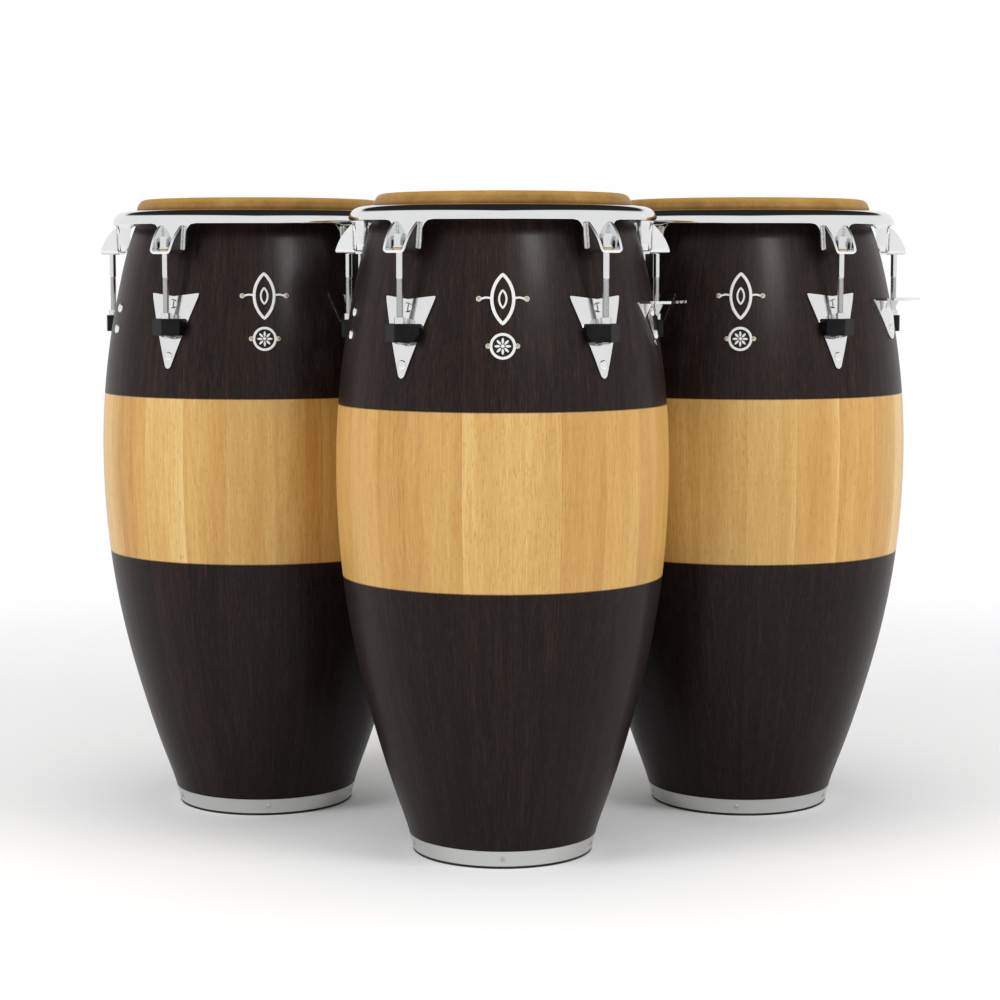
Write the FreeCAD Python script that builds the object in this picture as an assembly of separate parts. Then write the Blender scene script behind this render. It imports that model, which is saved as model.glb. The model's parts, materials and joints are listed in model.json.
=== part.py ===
import FreeCAD, Part
import math
import os
from FreeCAD import Vector

# Set of three stave-built conga drums. Millimetres, +Z up, floor at z = 0.
# Each drum is drawn about its own axis with its front facing -Y, then turned
# and placed. Azimuth is in degrees from the front (-Y) towards +X.

os.makedirs("parts", exist_ok=True)

HEIGHT = 762.0                       # floor to top of drumhead
DRUMS = {                            # name: (radius factor, yaw deg, x, y)
    "centre": (1.000, 0.0, -2.66, -141.48),
    "left": (1.040, 6.8, -306.66, 122.52),
    "right": (1.055, -6.8, 301.34, 122.52),
}
GAP = 0.05                           # seat gap between shell and hardware

# -------------------------------------------------------------------- shell
SHELL = [                            # (z, outside radius)
    (3.0, 104.9), (26.0, 111.0), (62.0, 123.2), (100.0, 135.8),
    (146.0, 149.4), (196.0, 162.6), (246.0, 173.5), (296.0, 181.9),
    (346.0, 187.7), (396.0, 191.2), (446.0, 192.4), (496.0, 191.2),
    (546.0, 187.3), (596.0, 180.8), (640.0, 173.0), (680.0, 164.6),
    (716.0, 154.6), (744.0, 144.0), (755.0, 139.8)]
SHELL_TOP = SHELL[-1][0]
TOP_TAPER = 0.38                     # radius lost per mm above SHELL_TOP
WALL = 11.5
STAVES = 22
STAVE_PHASE = 3.2                    # deg, first glue line from the front
GLUE = 0.02                          # glue line between two staves
GLUE_R = 192.0                       # radius at which GLUE is measured
PROFILE_POINTS = 40
INNER_START = 2.0                    # start of the inside curve above the bottom
INNER_TOP = 750.0
EDGE_Z, EDGE_R = 759.4, 133.5        # crest height and mid radius, bearing edge
EDGE_HALF, EDGE_DROP = 1.5, 0.6      # half width, fall towards the inside
HOLE_REACH = 2.2                     # deg a hole may spread into the next stave

# ------------------------------------------------------- base band and foot
BAND_Z0, BAND_Z1 = 3.0, 21.0
BAND_T, BAND_INSET = 1.5, 1.2
BAND_OUT = GAP + BAND_T - BAND_INSET  # band's face outside the shell line
REBATE_GAP = 0.15                    # between band top and the shell's step
BAND_SCREWS = 5
SCREW_Z = (BAND_Z0 + BAND_Z1) / 2
SCREW_HEAD_R, SCREW_HEAD_H, SCREW_SHANK_R, SCREW_LENGTH = 3.4, 1.5, 1.5, 9.0
SCREW_LIFT = 0.12                    # screw head off the band
SLOT_LONG, SLOT_WIDE, SLOT_DEEP = 3.6, 0.8, 1.3
SLOT_OUT, SLOT_TURN = 2.0, 25.0      # slot's outer face off the seat; deg
FOOT_H, FOOT_OUT, FOOT_IN, FOOT_FILLET = 2.9, 0.2, 1.5, 0.8

# --------------------------------------------------------------------- head
HEAD_RIM_R = 145.0                   # radius that sets how the head grows
HEAD_T = 2.4
HEAD_UNDER = EDGE_Z + 0.2
HEAD_OUT = [                         # (r, z), flat top to lower lip
    (138.0, HEIGHT), (142.6, 760.3), (145.0, 757.4), (146.8, 754.0), (147.4, 752.5)]
FLESH_R, FLESH_Z, FLESH_WIRE = 155.0, 740.4, 3.6

# --------------------------------------------------------------------- hoop
HOOP_R, COLLAR_R = 177.0, 149.4      # skirt outside, innermost lip
SKIRT_Z = 731.0
HOOP_OUT = [                         # (r, z), lip to skirt
    (COLLAR_R, 748.2), (158.0, 747.5), (166.0, 746.1), (171.2, 743.5),
    (174.6, 739.6), (176.4, 735.3), (HOOP_R, SKIRT_Z)]
HOOP_IN = [
    (COLLAR_R, 745.2), (157.8, 744.5), (165.1, 743.2), (169.3, 741.1),
    (172.0, 738.0), (173.5, 734.6), (174.0, SKIRT_Z)]
TONGUE_HALF, TONGUE_TIP_HALF = 20.8, 17.8
TONGUE_FILLET, TONGUE_CORNER = 14.0, 4.0
TONGUE_Z = 698.0
TONGUE_SPREAD = 40.0                 # blank beside and below the skirt
TONGUE_ROOT = 1.0                    # blank above the skirt's edge

# --------------------------------------------------------------------- lugs
LUGS = [-36.0, 36.0, 108.0, 180.0, -108.0]
BOLT_OUT = 13.0                      # bolt axis outside the hoop skirt
BOLT_CLEAR_R = 4.3                   # tuning bolt hole in washer and block
CUP_T = 3.3
CUP_Z, CUP_TOP = 693.9, 728.0
CUP_HALF, CUP_TOP_HALF = 15.0, 17.5
CUP_OUT, CUP_BACK = 24.0, 8.0        # lip outside, blank inside the skirt
CUP_CORNER, CUP_INNER_CORNER = 6.0, 2.7
CUP_HOLE_R = 4.8
WASHER_Z0, WASHER_Z1, WASHER_R, WASHER_FILLET = 697.3, 699.6, 8.0, 0.5
FLANGE_Z0, FLANGE_Z1, FLANGE_R = 699.65, 702.3, 7.4
FLANGE_TOP_R, FLANGE_EDGE = 6.6, 1.2
HEX_AF, HEX_Z1 = 12.7, 714.9
HEX_CONE_SPREAD, HEX_CONE_INSET, HEX_CONE_H = 14.0, 0.2, 8.6  # head's top bevel
SHANK_R, SHANK_Z = 4.0, 666.0
THREAD_R, TIP_Z = 3.9, 594.0
HEAD_TURN, HEAD_TURN_STEP = 12.0, 17.0  # deg, each hex head turned differently

# -------------------------------------------------------------- side plates
PLATE_T = 2.4
PLATE_TOP, PLATE_NOTCH, PLATE_TIP = 648.0, 644.0, 558.0
PLATE_HALF, PLATE_TIP_HALF, PLATE_CORNER = 35.0, 3.2, 1.8
TIP_CORNER = 2.6
PLATE_BOLT_Z = (634.5, 572.0)

# --------------------------------------------- receiver blocks and inserts
BLOCK_Z0, BLOCK_Z1 = 597.4, 617.5
BLOCK_CREST, BLOCK_EDGE = 9.5, 1.5   # outside the bolt axis radius
BLOCK_SHOULDER = 5.0                 # inside the bolt axis radius
BLOCK_EDGE_HALF, BLOCK_BACK_HALF = 20.0, 22.7
BLOCK_DEPTH, BLOCK_FILLET = 14.0, 2.0
BLOCK_BOLT_Z = 606.5
INSERT_R, INSERT_Z1 = 6.2, 624.3
COLLAR_GAP, COLLAR_LAP = 0.02, 1.0   # insert collar off the block; spigot into it
SPIGOT_R, SPIGOT_Z0 = 5.4, 601.0

# ----------------------------------------------------- bolts through shell
HEAD_R, HEAD_H, STUD_R = 5.3, 2.9, 3.0
HOLE_R, SNUG_R = STUD_R + 0.06, STUD_R + 0.03
BOLT_TAIL = 7.6                      # bolt past the shell's inside
STUD_OUT = 3.8                       # headless stud outside the shell
NUT_AF, NUT_H, NUT_OFF = 10.0, 5.0, 1.1
NUT_WASHER_R, NUT_WASHER_T = 8.0, 0.8

# ---------------------------------------------------------- shell protector
PROT_AZ = 72.0
PROT_Z1, PROT_TIP = 641.0, 591.0
PROT_HALF, PROT_TIP_HALF, PROT_CORNER = 40.0, 9.0, 2.0
PROT_OUT = 31.5                      # shelf beyond the hoop skirt radius
PROT_T = 3.0                         # shelf
PROT_BODY_T = PROT_T * 0.8           # plate against the shell
PROT_BOLT_Z = (628.5, 603.0)
PROT_CLEAR = GAP + 0.5               # shelf and gussets off the shell
SHELF_HALF, SHELF_FILLET = PROT_HALF + 5, 4.0
SHELF_BACK_IN, SHELF_FRONT_IN, SHELF_BEVEL = 8.0, 9.0, 10.0
GUSSET_X, GUSSET_T, GUSSET_H = 27.0, 2.4, 19.0
GUSSET_TOP, GUSSET_FOOT, GUSSET_FOOT_IN = 13.0, 4.5, 2.0

# ---------------------------------------------------------------- ornaments
ORN_T = 1.8
ORN_Z, ORN_TALL, ORN_WIDE, ORN_PIN = 644.5, 57.0, 27.0, 25.75
ORN_WINDOW = (8.5, 4.2)              # oval window inset: (in height, in width)
ORN_CORE = (18.0, 9.0)               # inner oval inset, likewise
ORN_BAR, ORN_EAR_R = 2.6, 3.1
BADGE_Z, BADGE_R, BADGE_RING, BADGE_PIN = 594.0, 14.3, 2.8, 15.8
BADGE_T, BADGE_CORE_T, BADGE_EAR_R = 2.0, 1.3, 3.0
PIN_HEAD_R, PIN_HEAD_H, PIN_R, PIN_HOLE_R = 2.2, 1.1, 1.25, 1.3

# Headed bolts through the shell: (azimuth, z, seat outside the shell).
# The pair at -PROT_AZ sits straight on the shell.
HEADED_BOLTS = [(az, z, GAP + PLATE_T) for az in LUGS for z in PLATE_BOLT_Z]
HEADED_BOLTS += [(PROT_AZ, z, GAP + PROT_BODY_T) for z in PROT_BOLT_Z]
HEADED_BOLTS += [(-PROT_AZ, z, GAP) for z in PROT_BOLT_Z]
SCREW_AZIMUTHS = [360.0 / BAND_SCREWS * i for i in range(BAND_SCREWS)]

UP = Vector(0, 0, 1)
FRONT = Vector(0, -1, 0)


# ------------------------------------------------------------------ helpers
def xz(x, z):
    return Vector(x, 0, z)


def path(*points):
    """Straight edges from point to point."""
    return [Part.LineSegment(p, q).toShape() for p, q in zip(points, points[1:])]


def arc(start, through, end):
    return Part.Arc(start, through, end).toShape()


def curve_through(points):
    """Smooth curve in the XZ plane through (r, z) points."""
    curve = Part.BSplineCurve()
    curve.interpolate([xz(r, z) for r, z in points])
    return curve


def spline(points):
    return curve_through(points).toShape()


def revolve(edges, sweep=360.0):
    """Turn a closed XZ profile about the Z axis, starting at +X."""
    return Part.Face(Part.Wire(edges)).revolve(Vector(0, 0, 0), UP, sweep)


def prism(points, direction):
    return Part.Face(Part.makePolygon(points + [points[0]])).extrude(direction)


def turn(shape, degrees):
    """Copy of the shape turned about the Z axis."""
    copy = shape.copy()
    copy.rotate(Vector(0, 0, 0), UP, degrees)
    return copy


def at_lugs(shape):
    return [turn(shape, az) for az in LUGS]


def one_solid(shape):
    """The largest solid of a boolean's result."""
    return max(shape.Solids, key=lambda solid: solid.Volume)


def facing(point, axis):
    """Placement that takes the origin to point and +Z to axis."""
    return FreeCAD.Placement(point, FreeCAD.Rotation(UP, axis))


def spaced(start, end, count):
    return [start + (end - start) * i / (count - 1) for i in range(count)]


def front_prism(wire, near, far):
    """Extrude a closed XZ outline from y = -near to y = -far."""
    face = Part.Face(wire)
    face.translate(Vector(0, -near, 0))
    return face.extrude(Vector(0, near - far, 0))


def front_cylinder(r, x, z):
    """Cylinder along Y, long enough to pass the front of the shell."""
    return Part.makeCylinder(r, 170, Vector(x, -90, z), FRONT)


def rounded_poly(points, radii):
    """Closed XZ outline with a corner radius at each point."""
    points = [xz(*p) for p in points]
    count = len(points)
    corners = []                     # (start, middle or None, end)
    for i, corner in enumerate(points):
        r = radii[i]
        if r <= 0:
            corners.append((corner, None, corner))
            continue
        before = (points[i - 1] - corner).normalize()
        after = (points[(i + 1) % count] - corner).normalize()
        half = before.getAngle(after) / 2
        tangent = r / math.tan(half)
        bisector = (before + after).normalize()
        corners.append((corner + before * tangent,
                        corner + bisector * (r / math.sin(half) - r),
                        corner + after * tangent))
    edges = []
    for i, (start, middle, end) in enumerate(corners):
        if middle is not None:
            edges.append(arc(start, middle, end))
        edges += path(end, corners[(i + 1) % count][0])
    return Part.Wire(edges)


def hexagon(across_flats, height, point, axis):
    r = across_flats / math.sqrt(3)
    corners = [Vector(r * math.cos(math.radians(60 * i)),
                      r * math.sin(math.radians(60 * i)), 0) for i in range(6)]
    solid = prism(corners, Vector(0, 0, height))
    solid.Placement = facing(point, axis)
    return solid


class Drum:
    """One drum's scaled radii and the shapes that follow its shell."""

    def __init__(self, scale):
        self.scale = scale
        self.curve = curve_through([(r * scale, z) for z, r in SHELL])
        self.hoop_r = HOOP_R * scale
        self.bolt_r = self.hoop_r + BOLT_OUT
        self.hoop_growth = self.hoop_r - HOOP_R
        self.head_growth = HEAD_RIM_R * (scale - 1)

    def radius(self, z):
        """Outside radius of the shell at z, found by bisection."""
        low, high = self.curve.FirstParameter, self.curve.LastParameter
        for _ in range(60):
            mid = 0.5 * (low + high)
            if self.curve.value(mid).z < z:
                low = mid
            else:
                high = mid
        r = self.curve.value(0.5 * (low + high)).x
        return r - max(0.0, z - SHELL_TOP) * TOP_TAPER

    def front_normal(self, z):
        """Point on the shell's front at z, and the outward normal there."""
        slope = self.radius(z + 0.5) - self.radius(z - 0.5)
        normal = Vector(0, -1, -slope)
        normal.normalize()
        return Vector(0, -self.radius(z), z), normal

    def ring(self, inner, outer, z0, z1, count, sweep=360.0):
        """Solid between two offsets of the shell's outside."""
        zs = spaced(z0, z1, count)
        bottom, top = self.radius(z0), self.radius(z1)
        outer_edge = spline([(self.radius(z) + outer, z) for z in zs])
        inner_edge = spline([(self.radius(z) + inner, z) for z in zs])
        return revolve(path(xz(bottom + inner, z0), xz(bottom + outer, z0))
                       + [outer_edge]
                       + path(xz(top + outer, z1), xz(top + inner, z1))
                       + [inner_edge], sweep)

    def front_ring(self, thick, z0, z1, count=8):
        """Sheet seated on the shell, 60 degrees wide, centred on the front."""
        return turn(self.ring(GAP, GAP + thick, z0, z1, count, 60.0), -120.0)

    def hole(self, z, r, outward=12.0, inward=22.0):
        """Cutter along the shell's normal at the front."""
        point, normal = self.front_normal(z)
        return Part.makeCylinder(r, outward + inward, point - normal * inward, normal)

    def dome_bolt(self, z, seat, length, head_r=HEAD_R, head_h=HEAD_H, shank_r=STUD_R):
        """Domed bolt seated outside the shell, shank pointing inwards."""
        solid = revolve(
            path(xz(0, -length), xz(shank_r, -length), xz(shank_r, 0),
                 xz(head_r, 0), xz(head_r, 0.5))
            + [arc(xz(head_r, 0.5), xz(head_r * 0.62, head_h * 0.78), xz(0.35, head_h))]
            + path(xz(0.35, head_h), xz(0, head_h), xz(0, -length)))
        point, normal = self.front_normal(z)
        solid.Placement = facing(point + normal * seat, normal)
        return solid


def v_plate(drum, top, tip, half, tip_half, bolt_zs, corner, thick, notch=None):
    """Tapered plate curved to the shell, with an optional notch in its top."""
    points = [(-half, top), (-tip_half, tip), (tip_half, tip), (half, top)]
    radii = [corner, TIP_CORNER, TIP_CORNER, corner]
    if notch is not None:
        points.append((0, notch))
        radii.append(0.0)
    blank = drum.front_ring(thick, tip - 4, top + 4)
    plate = one_solid(blank.common(front_prism(rounded_poly(points, radii), 90, 260)))
    for z in bolt_zs:
        plate = plate.cut(drum.hole(z, HOLE_R))
    return one_solid(plate)


# ------------------------------------------------------------ shell and base
def screw_hole(drum):
    return drum.hole(SCREW_Z, 1.6, outward=4, inward=11)


def shell_staves(drum):
    z0, step_z = BAND_Z0, BAND_Z1 + REBATE_GAP
    bottom, step_r = drum.radius(z0), drum.radius(step_z)
    outer = spline([(drum.radius(z), z)
                    for z in spaced(step_z, SHELL_TOP, PROFILE_POINTS)])
    inner_z0 = z0 + INNER_START
    inner = spline([(drum.radius(z) - WALL, z)
                    for z in spaced(inner_z0, INNER_TOP, PROFILE_POINTS)])
    edge_r = EDGE_R * drum.scale
    top = xz(drum.radius(SHELL_TOP), SHELL_TOP)
    crest = xz(edge_r + EDGE_HALF, EDGE_Z)
    # the bearing edge is rounded outside and slopes down to the inside
    profile = (
        path(xz(bottom - WALL, z0), xz(bottom - BAND_INSET, z0),
             xz(step_r - BAND_INSET, step_z), xz(step_r, step_z))
        + [outer, arc(top, (top + crest) * 0.5 + xz(0.9, 0.7), crest)]
        + path(crest, xz(edge_r - EDGE_HALF, EDGE_Z - EDGE_DROP),
               xz(drum.radius(INNER_TOP) - WALL, INNER_TOP))
        + [inner]
        + path(xz(drum.radius(inner_z0) - WALL, inner_z0), xz(bottom - WALL, z0)))
    step = 360.0 / STAVES
    slit = math.degrees(GLUE / (GLUE_R * drum.scale))
    blank = revolve(profile, step - slit)

    sites = [(az, z) for az, z, _ in HEADED_BOLTS] + [(az, BLOCK_BOLT_Z) for az in LUGS]
    cutters = [(az, drum.hole(z, HOLE_R)) for az, z in sites]
    cutters += [(az, screw_hole(drum)) for az in SCREW_AZIMUTHS]
    staves = []
    for i in range(STAVES):
        start = STAVE_PHASE + step * i
        middle = start + step / 2
        stave = turn(blank, start - 90.0)   # the profile starts at +X
        for az, cutter in cutters:
            offset = (az - middle + 180.0) % 360.0 - 180.0
            if abs(offset) < step / 2 + HOLE_REACH:
                stave = stave.cut(turn(cutter, az))
        staves.append(one_solid(stave))
    return staves


def band_screw(drum):
    """Cross-slotted screw at the front."""
    screw = drum.dome_bolt(SCREW_Z, BAND_OUT + SCREW_LIFT, SCREW_LENGTH,
                           SCREW_HEAD_R, SCREW_HEAD_H, SCREW_SHANK_R)
    point, normal = drum.front_normal(SCREW_Z)
    spin = FreeCAD.Placement(Vector(0, 0, 0), FreeCAD.Rotation(UP, SLOT_TURN))
    for width, height in ((SLOT_LONG, SLOT_WIDE), (SLOT_WIDE, SLOT_LONG)):
        slot = Part.makeBox(width, height, SLOT_DEEP,
                            Vector(-width / 2, -height / 2, -SLOT_DEEP))
        slot.Placement = facing(point + normal * (BAND_OUT + SLOT_OUT),
                                normal).multiply(spin)
        screw = screw.cut(slot)
    return screw


def base_band(drum):
    """The band, and its screws trimmed to the band's face."""
    low, high = drum.radius(BAND_Z0) + BAND_OUT, drum.radius(BAND_Z1) + BAND_OUT
    band = revolve(path(xz(low - BAND_T, BAND_Z0), xz(low, BAND_Z0), xz(high, BAND_Z1),
                        xz(high - BAND_T, BAND_Z1), xz(low - BAND_T, BAND_Z0)))
    screws = []
    for az in SCREW_AZIMUTHS:
        band = band.cut(turn(screw_hole(drum), az))
        screws.append(one_solid(turn(band_screw(drum), az).cut(band)))
    return [one_solid(band)], screws


def rubber_foot(drum):
    r = drum.radius(BAND_Z0)
    foot = Part.makeCylinder(r + FOOT_OUT, FOOT_H).cut(
        Part.makeCylinder(r - WALL - FOOT_IN, FOOT_H))
    floor_edges = [e for e in foot.Edges if abs(e.BoundBox.ZMax) < 1e-6]
    return [one_solid(foot.makeFillet(FOOT_FILLET, floor_edges))]


# ------------------------------------------------------------ head and hoop
def drumhead(drum):
    outside = [(r + drum.head_growth, z) for r, z in HEAD_OUT]
    (flat_r, _), (r1, z1), (r2, z2), _, (lip_r, lip_z) = outside
    lip_in = (lip_r - HEAD_T, lip_z)
    under_r = flat_r - 1.0
    inside = [lip_in, (r2 - 2.3, z2 - 1.5), (r1 - 1.9, z1 - 1.6), (under_r, HEAD_UNDER)]
    return [revolve(
        path(xz(0, HEIGHT), xz(flat_r, HEIGHT)) + [spline(outside)]
        + path(xz(lip_r, lip_z), xz(*lip_in)) + [spline(inside)]
        + path(xz(under_r, HEAD_UNDER), xz(0, HEAD_UNDER), xz(0, HEIGHT)))]


def flesh_hoop(drum):
    return [Part.makeTorus(FLESH_R + drum.hoop_growth, FLESH_WIRE, Vector(0, 0, FLESH_Z))]


def hoop_cup(drum):
    """Bent strap at the front, its cheeks running back to the tongue."""
    half, top_half, thick = CUP_HALF, CUP_TOP_HALF, CUP_T
    outline = rounded_poly(
        [(-top_half, CUP_TOP), (-half, CUP_Z), (half, CUP_Z), (top_half, CUP_TOP),
         (top_half - thick, CUP_TOP), (half - thick, CUP_Z + thick),
         (-half + thick, CUP_Z + thick), (-top_half + thick, CUP_TOP)],
        [0, CUP_CORNER, CUP_CORNER, 0, 0, CUP_INNER_CORNER, CUP_INNER_CORNER, 0])
    back, lip = drum.hoop_r - CUP_BACK, drum.hoop_r + CUP_OUT
    strap = front_prism(outline, back, lip + 2)

    # side view, seen along X
    bottom = CUP_Z - 1
    lip_point = Vector(0, -lip, CUP_Z + 3)
    top_point = Vector(0, -drum.hoop_r - 2.0, CUP_TOP)
    side = Part.Face(Part.Wire(
        path(Vector(0, -back, bottom), Vector(0, -lip + 1.2, bottom), lip_point)
        + [arc(lip_point, Vector(0, -drum.hoop_r - 16.2, CUP_Z + 19), top_point)]
        + path(top_point, Vector(0, -back, CUP_TOP), Vector(0, -back, bottom))))
    side.translate(Vector(-30, 0, 0))
    strap = strap.common(side.extrude(Vector(60, 0, 0)))
    strap = strap.cut(Part.makeCylinder(drum.hoop_r + 0.02, 80, Vector(0, 0, 680)))
    return one_solid(strap.cut(
        Part.makeCylinder(CUP_HOLE_R, 20, Vector(0, -drum.bolt_r, CUP_Z - 5))))


def tuning_hoop(drum):
    """Hoop with a tongue hanging from its skirt at each lug, then the cups."""
    def scaled(points):
        """Grow the lip with the head and the skirt with the hoop."""
        result = []
        for r, z in points:
            share = (r - COLLAR_R) / (HOOP_R - COLLAR_R)
            growth = share * drum.hoop_growth + (1 - share) * drum.head_growth
            result.append((r + growth, z))
        return result

    outer, inner = scaled(HOOP_OUT), scaled(HOOP_IN)
    hoop = revolve(path(xz(*inner[0]), xz(*outer[0])) + [spline(outer)]
                   + path(xz(*outer[-1]), xz(*inner[-1])) + [spline(inner)])

    tube_base = Vector(0, 0, SKIRT_Z - TONGUE_SPREAD)
    tube = Part.makeCylinder(outer[-1][0], TONGUE_SPREAD, tube_base).cut(
        Part.makeCylinder(inner[-1][0], TONGUE_SPREAD, tube_base))
    half, tip_half, side = TONGUE_HALF, TONGUE_TIP_HALF, TONGUE_HALF + TONGUE_SPREAD
    root = SKIRT_Z + TONGUE_ROOT
    outline = rounded_poly(
        [(-side, root), (-side, SKIRT_Z), (-half, SKIRT_Z), (-tip_half, TONGUE_Z),
         (tip_half, TONGUE_Z), (half, SKIRT_Z), (side, SKIRT_Z), (side, root)],
        [0, 0, TONGUE_FILLET, TONGUE_CORNER, TONGUE_CORNER, TONGUE_FILLET, 0, 0])
    tongue = one_solid(tube.common(front_prism(outline, 120, 240)))
    for placed in at_lugs(tongue):
        hoop = hoop.fuse(placed)
    return [one_solid(hoop.removeSplitter())] + at_lugs(hoop_cup(drum))


# --------------------------------------------------------------------- lugs
def lug_washers(drum):
    washer = Part.makeCylinder(WASHER_R, WASHER_Z1 - WASHER_Z0,
                               Vector(0, -drum.bolt_r, WASHER_Z0)).cut(
        Part.makeCylinder(BOLT_CLEAR_R, 10, Vector(0, -drum.bolt_r, WASHER_Z0 - 2)))
    rim = [e for e in washer.Edges
           if e.BoundBox.XMax > 7
           and abs(e.BoundBox.ZMax - WASHER_Z1) < 1e-6
           and abs(e.BoundBox.ZMin - WASHER_Z1) < 1e-6]
    return at_lugs(one_solid(washer.makeFillet(WASHER_FILLET, rim)))


def tuning_bolts(drum):
    """Flanged hex bolts with plain rods for threads, one list per lug."""
    body = revolve(path(
        xz(0, TIP_Z), xz(THREAD_R - 1.0, TIP_Z), xz(THREAD_R, TIP_Z + 1.2),
        xz(THREAD_R, SHANK_Z), xz(SHANK_R, SHANK_Z + 0.6), xz(SHANK_R, FLANGE_Z0),
        xz(FLANGE_R, FLANGE_Z0), xz(FLANGE_R, FLANGE_Z0 + FLANGE_EDGE),
        xz(FLANGE_TOP_R, FLANGE_Z1), xz(0, FLANGE_Z1), xz(0, TIP_Z)))
    head = hexagon(HEX_AF, HEX_Z1 - FLANGE_Z1, Vector(0, 0, FLANGE_Z1), UP)
    head = head.common(Part.makeCone(
        HEX_AF / 2 + HEX_CONE_SPREAD, HEX_AF / 2 - HEX_CONE_INSET, HEX_CONE_H,
        Vector(0, 0, HEX_Z1 - HEX_CONE_H)))
    blank = one_solid(body.fuse(head))
    bolts = []
    for i, az in enumerate(LUGS):
        bolt = turn(blank, HEAD_TURN + HEAD_TURN_STEP * i)
        bolt.translate(Vector(0, -drum.bolt_r, 0))
        bolts.append([turn(bolt, az)])
    return bolts


def side_plates(drum):
    return at_lugs(v_plate(
        drum, PLATE_TOP, PLATE_TIP, PLATE_HALF, PLATE_TIP_HALF,
        PLATE_BOLT_Z + (BLOCK_BOLT_Z,), PLATE_CORNER, PLATE_T, notch=PLATE_NOTCH))


def receiver_blocks(drum):
    bolt_r = drum.bolt_r
    right = [(BLOCK_EDGE_HALF, bolt_r + BLOCK_EDGE),      # (x, distance to the front)
             (BLOCK_BACK_HALF, bolt_r - BLOCK_SHOULDER),
             (BLOCK_BACK_HALF, drum.radius(BLOCK_Z1) - BLOCK_DEPTH)]
    outline = [(-x, y) for x, y in reversed(right)] + [(0, bolt_r + BLOCK_CREST)] + right
    block = prism([Vector(x, -y, BLOCK_Z0) for x, y in outline],
                  Vector(0, 0, BLOCK_Z1 - BLOCK_Z0))
    block = block.makeFillet(BLOCK_FILLET, [
        e for e in block.Edges if e.BoundBox.YMax < -(bolt_r - 6) and e.Length > 15])
    block = block.cut(drum.ring(-60, GAP * 2 + PLATE_T, BLOCK_Z0 - 6, BLOCK_Z1 + 6, 6))
    block = block.cut(Part.makeCylinder(SPIGOT_R + 0.03, 40,
                                        Vector(0, -bolt_r, SPIGOT_Z0 - 0.1)))
    block = block.cut(Part.makeCylinder(BOLT_CLEAR_R, 60, Vector(0, -bolt_r, 570)))
    block = block.cut(drum.hole(BLOCK_BOLT_Z, SNUG_R, outward=4.0, inward=20.0))
    return at_lugs(one_solid(block))


def threaded_inserts(drum):
    """Spigot in the block with a wider collar above it, bored for the bolt."""
    collar_z = BLOCK_Z1 + COLLAR_GAP
    collar = Part.makeCylinder(INSERT_R, INSERT_Z1 - collar_z,
                               Vector(0, -drum.bolt_r, collar_z))
    insert = Part.makeCylinder(SPIGOT_R, BLOCK_Z1 + COLLAR_LAP - SPIGOT_Z0,
                               Vector(0, -drum.bolt_r, SPIGOT_Z0)).fuse(collar)
    insert = insert.cut(Part.makeCylinder(THREAD_R + 0.05, 60,
                                          Vector(0, -drum.bolt_r, 590)))
    return at_lugs(one_solid(insert))


# ----------------------------------------------------- bolts through shell
def shell_bolts(drum):
    """Headed bolts, then the headless studs behind the receiver blocks."""
    bolts = [turn(drum.dome_bolt(z, seat, seat + WALL + BOLT_TAIL), az)
             for az, z, seat in HEADED_BOLTS]
    stud = drum.hole(BLOCK_BOLT_Z, STUD_R, outward=STUD_OUT, inward=WALL + BOLT_TAIL)
    return bolts + at_lugs(stud)


def inner_nut(drum, z):
    """Washer-faced nut on a bolt's end, clear of the shell's inside."""
    point, normal = drum.front_normal(z)
    base = point - normal * (WALL + NUT_OFF)
    nut = hexagon(NUT_AF, -NUT_H, base, normal)
    washer = Part.makeCylinder(NUT_WASHER_R, NUT_WASHER_T, base, normal)
    return nut.fuse(washer).removeSplitter().cut(
        Part.makeCylinder(SNUG_R, 12.0, base - normal * 8, normal))


def inner_nuts(drum):
    nuts = [turn(inner_nut(drum, z), az) for az, z, _ in HEADED_BOLTS]
    return nuts + at_lugs(inner_nut(drum, BLOCK_BOLT_Z))


# ---------------------------------------------------------- shell protector
def protector_shelf(drum):
    """Flat shelf along the top of the protector, reaching outwards."""
    back = (drum.radius(PROT_Z1 - PROT_T / 2) + GAP + 0.4) * 0.93
    front = drum.hoop_r + PROT_OUT
    left = [(-SHELF_HALF + SHELF_BACK_IN, back),          # (x, distance to the front)
            (-SHELF_HALF, front - SHELF_BEVEL),
            (-SHELF_HALF + SHELF_FRONT_IN, front)]
    outline = left + [(-x, y) for x, y in reversed(left)]
    shelf = prism([Vector(x, -y, PROT_Z1 - PROT_T) for x, y in outline],
                  Vector(0, 0, PROT_T))
    shelf = shelf.makeFillet(SHELF_FILLET, [
        e for e in shelf.Edges
        if e.BoundBox.ZLength > 2 and e.BoundBox.YMax < -(front - 12)])
    return shelf.cut(drum.ring(-60, PROT_CLEAR, PROT_Z1 - 12, PROT_Z1 + 12, 6))


def protector_gusset(drum, middle_x):
    """Upright web between the plate and the shelf."""
    x = middle_x - GUSSET_T / 2
    back = math.sqrt((drum.radius(PROT_Z1) + 1.0) ** 2 - middle_x ** 2) - 1.0
    top = PROT_Z1 - 1
    foot = top - GUSSET_H
    gusset = prism([Vector(x, -back, top), Vector(x, -(back + GUSSET_TOP), top),
                    Vector(x, -(back + GUSSET_FOOT), foot),
                    Vector(x, -(back + GUSSET_FOOT_IN), foot)],
                   Vector(GUSSET_T, 0, 0))
    return gusset.cut(drum.ring(-60, PROT_CLEAR, PROT_Z1 - 40, PROT_Z1 + 12, 8))


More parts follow.
